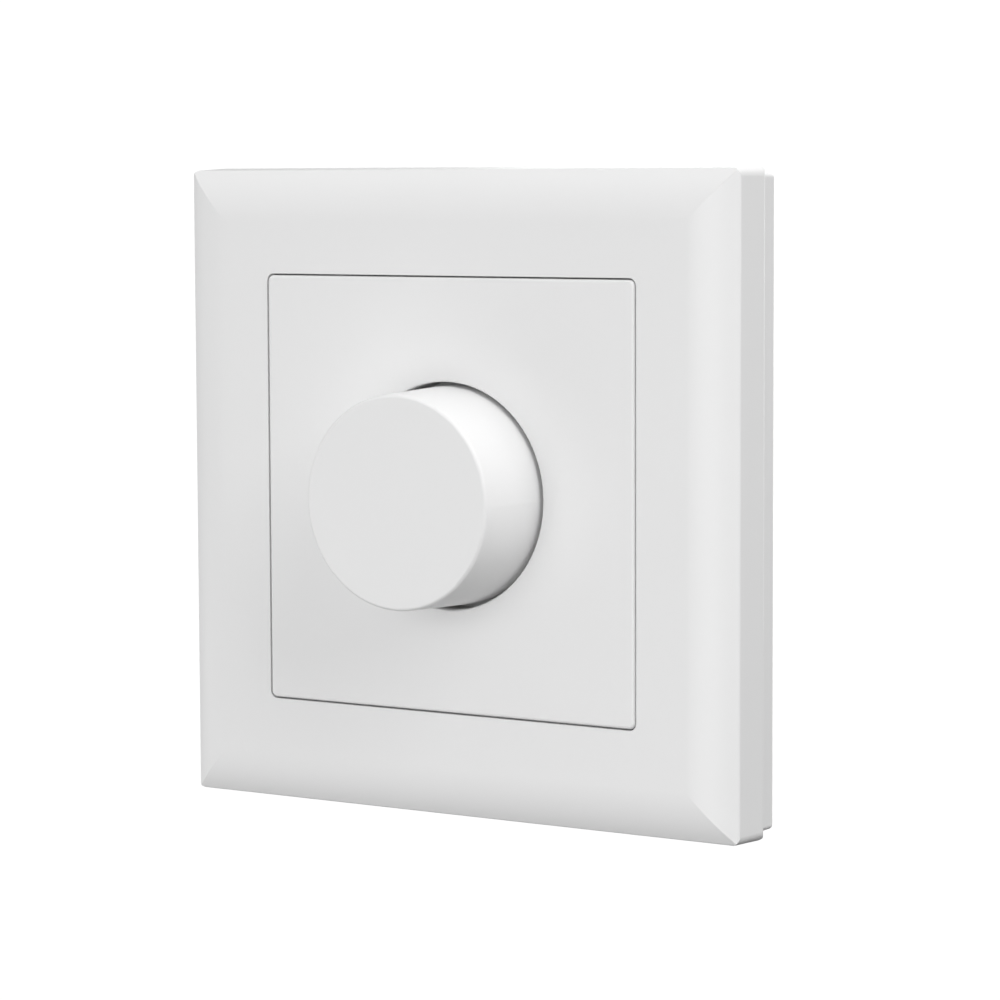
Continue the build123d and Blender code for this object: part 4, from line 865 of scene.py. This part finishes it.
class DIMMER_OT_stage(bpy.types.Operator):
    """Sets up the pale floor, the soft light and the camera."""

    bl_idname = "dimmer.stage"
    bl_label = "Studio"

    def execute(self, context):
        settings = context.scene.dimmer_stage
        context.scene.view_settings.view_transform = "Standard"
        self.floor(context.scene, settings)
        self.sky(context.scene, settings)
        # Each softbox: its name, its power, its turn to the right from the front and its height,
        # both in degrees. The low one shines up through the floor.
        softboxes = (
            ("front_softbox", settings.front_power, 0, 0),
            ("right_softbox", settings.right_power, 80, 40),
            ("low_softbox", settings.low_power, -40, -40),
            ("left_softbox", settings.left_power, -80, 0),
            ("rear_softbox", settings.rear_power, -169, 12),
        )
        for name, watts, azimuth, elevation in softboxes:
            self.softbox(context.scene, settings, name, watts, radians(azimuth), radians(elevation))
        self.camera(context.scene, settings)
        return {"FINISHED"}

    @staticmethod
    def floor(scene, settings):
        """A wide flat floor that glows white, and less so in a soft round patch of painted shade under
        the dimmer.
        """
        z = -settings.floor_drop
        corners = [(FLOOR_HALF * x, FLOOR_HALF * y, z) for x, y in ((-1, -1), (1, -1), (1, 1), (-1, 1))]
        mesh = bpy.data.meshes.new("floor")
        mesh.from_pydata(corners, [], [(0, 1, 2, 3)])
        # Opal acrylic lit from below: even and pale, but its glow is lowered under the dimmer, a
        # painted shade that lets white pieces stand out against it from above.
        material = bpy.data.materials.new("opal_acrylic")
        material.use_nodes = True
        tree = material.node_tree
        tree.nodes.clear()
        place = add(tree, "ShaderNodeTexCoord").outputs["Object"]
        strength = add(
            tree, "ShaderNodeMapRange",
            {"Value": distance(tree, place, axes=(1.0, 1.0, 0.0)), "From Min": settings.shade_pool_core,
             "From Max": settings.pool, "To Min": settings.shade_pool_glow, "To Max": settings.backdrop},
            interpolation_type="SMOOTHSTEP",
        ).outputs["Result"]
        glow = add(
            tree, "ShaderNodeEmission",
            {"Color": (*settings.floor_colour, 1.0), "Strength": strength},
        )
        add(tree, "ShaderNodeOutputMaterial", {"Surface": glow.outputs["Emission"]})
        mesh.materials.append(material)
        floor = bpy.data.objects.new("floor", mesh)
        scene.collection.objects.link(floor)
        floor.visible_diffuse = False
        floor.visible_glossy = False
        floor.visible_shadow = False

    @staticmethod
    def sky(scene, settings):
        """A dome that is bright above, dark below and plain white where the camera sees it."""
        world = bpy.data.worlds.new("studio_dome")
        world.use_nodes = True
        tree = world.node_tree
        tree.nodes.clear()
        direction = add(tree, "ShaderNodeTexCoord").outputs["Generated"]
        up = add(tree, "ShaderNodeSeparateXYZ", {"Vector": direction}).outputs["Z"]
        strength = add(
            tree, "ShaderNodeMapRange",
            {"Value": up, "From Min": -1.0, "From Max": 1.0, "To Min": 0.0,
             "To Max": settings.sky},
        ).outputs["Result"]
        light = add(tree, "ShaderNodeBackground", {"Strength": strength, "Color": WHITE})
        white = add(tree, "ShaderNodeBackground", {"Strength": settings.backdrop, "Color": WHITE})
        seen = add(tree, "ShaderNodeLightPath").outputs["Is Camera Ray"]
        both = add(
            tree, "ShaderNodeMixShader",
            {0: seen, 1: light.outputs["Background"], 2: white.outputs["Background"]},
        )
        add(tree, "ShaderNodeOutputWorld", {"Surface": both.outputs["Shader"]})
        scene.world = world

    @staticmethod
    def softbox(scene, settings, name, watts, azimuth, elevation):
        """A square lamp that faces the dimmer and isn't seen itself."""
        lamp = bpy.data.lights.new(name, "AREA")
        lamp.energy = watts
        lamp.size = settings.width
        holder = bpy.data.objects.new(name, lamp)
        level = cos(elevation)
        place = settings.reach * Vector(
            (sin(azimuth) * level, -cos(azimuth) * level, sin(elevation))
        )
        turn = (-place).to_track_quat("-Z", "Y").to_matrix().to_4x4()
        holder.matrix_world = Matrix.Translation(place) @ turn
        holder.visible_camera = False
        scene.collection.objects.link(holder)

    @staticmethod
    def camera(scene, settings):
        """The camera where the photograph was taken from."""
        camera = bpy.data.cameras.new("camera")
        camera.lens = settings.lens
        camera.sensor_width = SENSOR_WIDTH_MM
        camera.clip_start = 0.02
        camera.clip_end = 200.0
        holder = bpy.data.objects.new("camera", camera)
        holder.matrix_world = (
            Matrix.Translation(settings.camera_place)
            @ Matrix.Rotation(settings.heading, 4, "Z")
            @ Matrix.Rotation(radians(90) + settings.pitch, 4, "X")
            @ Matrix.Rotation(settings.roll, 4, "Z")
        )
        scene.collection.objects.link(holder)
        scene.camera = holder


OPERATORS = (
    DIMMER_OT_mouldings,
    DIMMER_OT_knob,
    DIMMER_OT_shaft,
    DIMMER_OT_fixings,
    DIMMER_OT_support_ring,
    DIMMER_OT_case,
    DIMMER_OT_cooling,
    DIMMER_OT_potentiometer,
    DIMMER_OT_push_switch,
    DIMMER_OT_board,
    DIMMER_OT_choke,
    DIMMER_OT_components,
    DIMMER_OT_terminals,
    DIMMER_OT_stage,
)
SETTINGS = {
    "dimmer_mouldings": MouldingSettings,
    "dimmer_metals": MetalSettings,
    "dimmer_inside": InsideSettings,
    "dimmer_stage": StageSettings,
}


class DIMMER_PT_sidebar(bpy.types.Panel):
    """Lists the dimmer's steps in the 3D view's sidebar."""

    bl_idname = "DIMMER_PT_sidebar"
    bl_label = "Dimmer"
    bl_space_type = "VIEW_3D"
    bl_region_type = "UI"
    bl_category = "Dimmer"

    def draw(self, context):
        for operator in OPERATORS:
            self.layout.operator(operator.bl_idname)


def register():
    """Registers the settings, the operators and the panel."""
    for name, group in SETTINGS.items():
        bpy.utils.register_class(group)
        setattr(bpy.types.Scene, name, PointerProperty(type=group))
    for operator in (*OPERATORS, DIMMER_PT_sidebar):
        bpy.utils.register_class(operator)


def unregister():
    """Takes all of them out again."""
    for operator in (DIMMER_PT_sidebar, *reversed(OPERATORS)):
        bpy.utils.unregister_class(operator)
    for name, group in reversed(SETTINGS.items()):
        delattr(bpy.types.Scene, name)
        bpy.utils.unregister_class(group)


def main():
    """Dresses the dimmer step by step."""
    register()
    for operator in OPERATORS:
        group, step = operator.bl_idname.split(".")
        getattr(getattr(bpy.ops, group), step)()


if __name__ == "__main__":
    main()
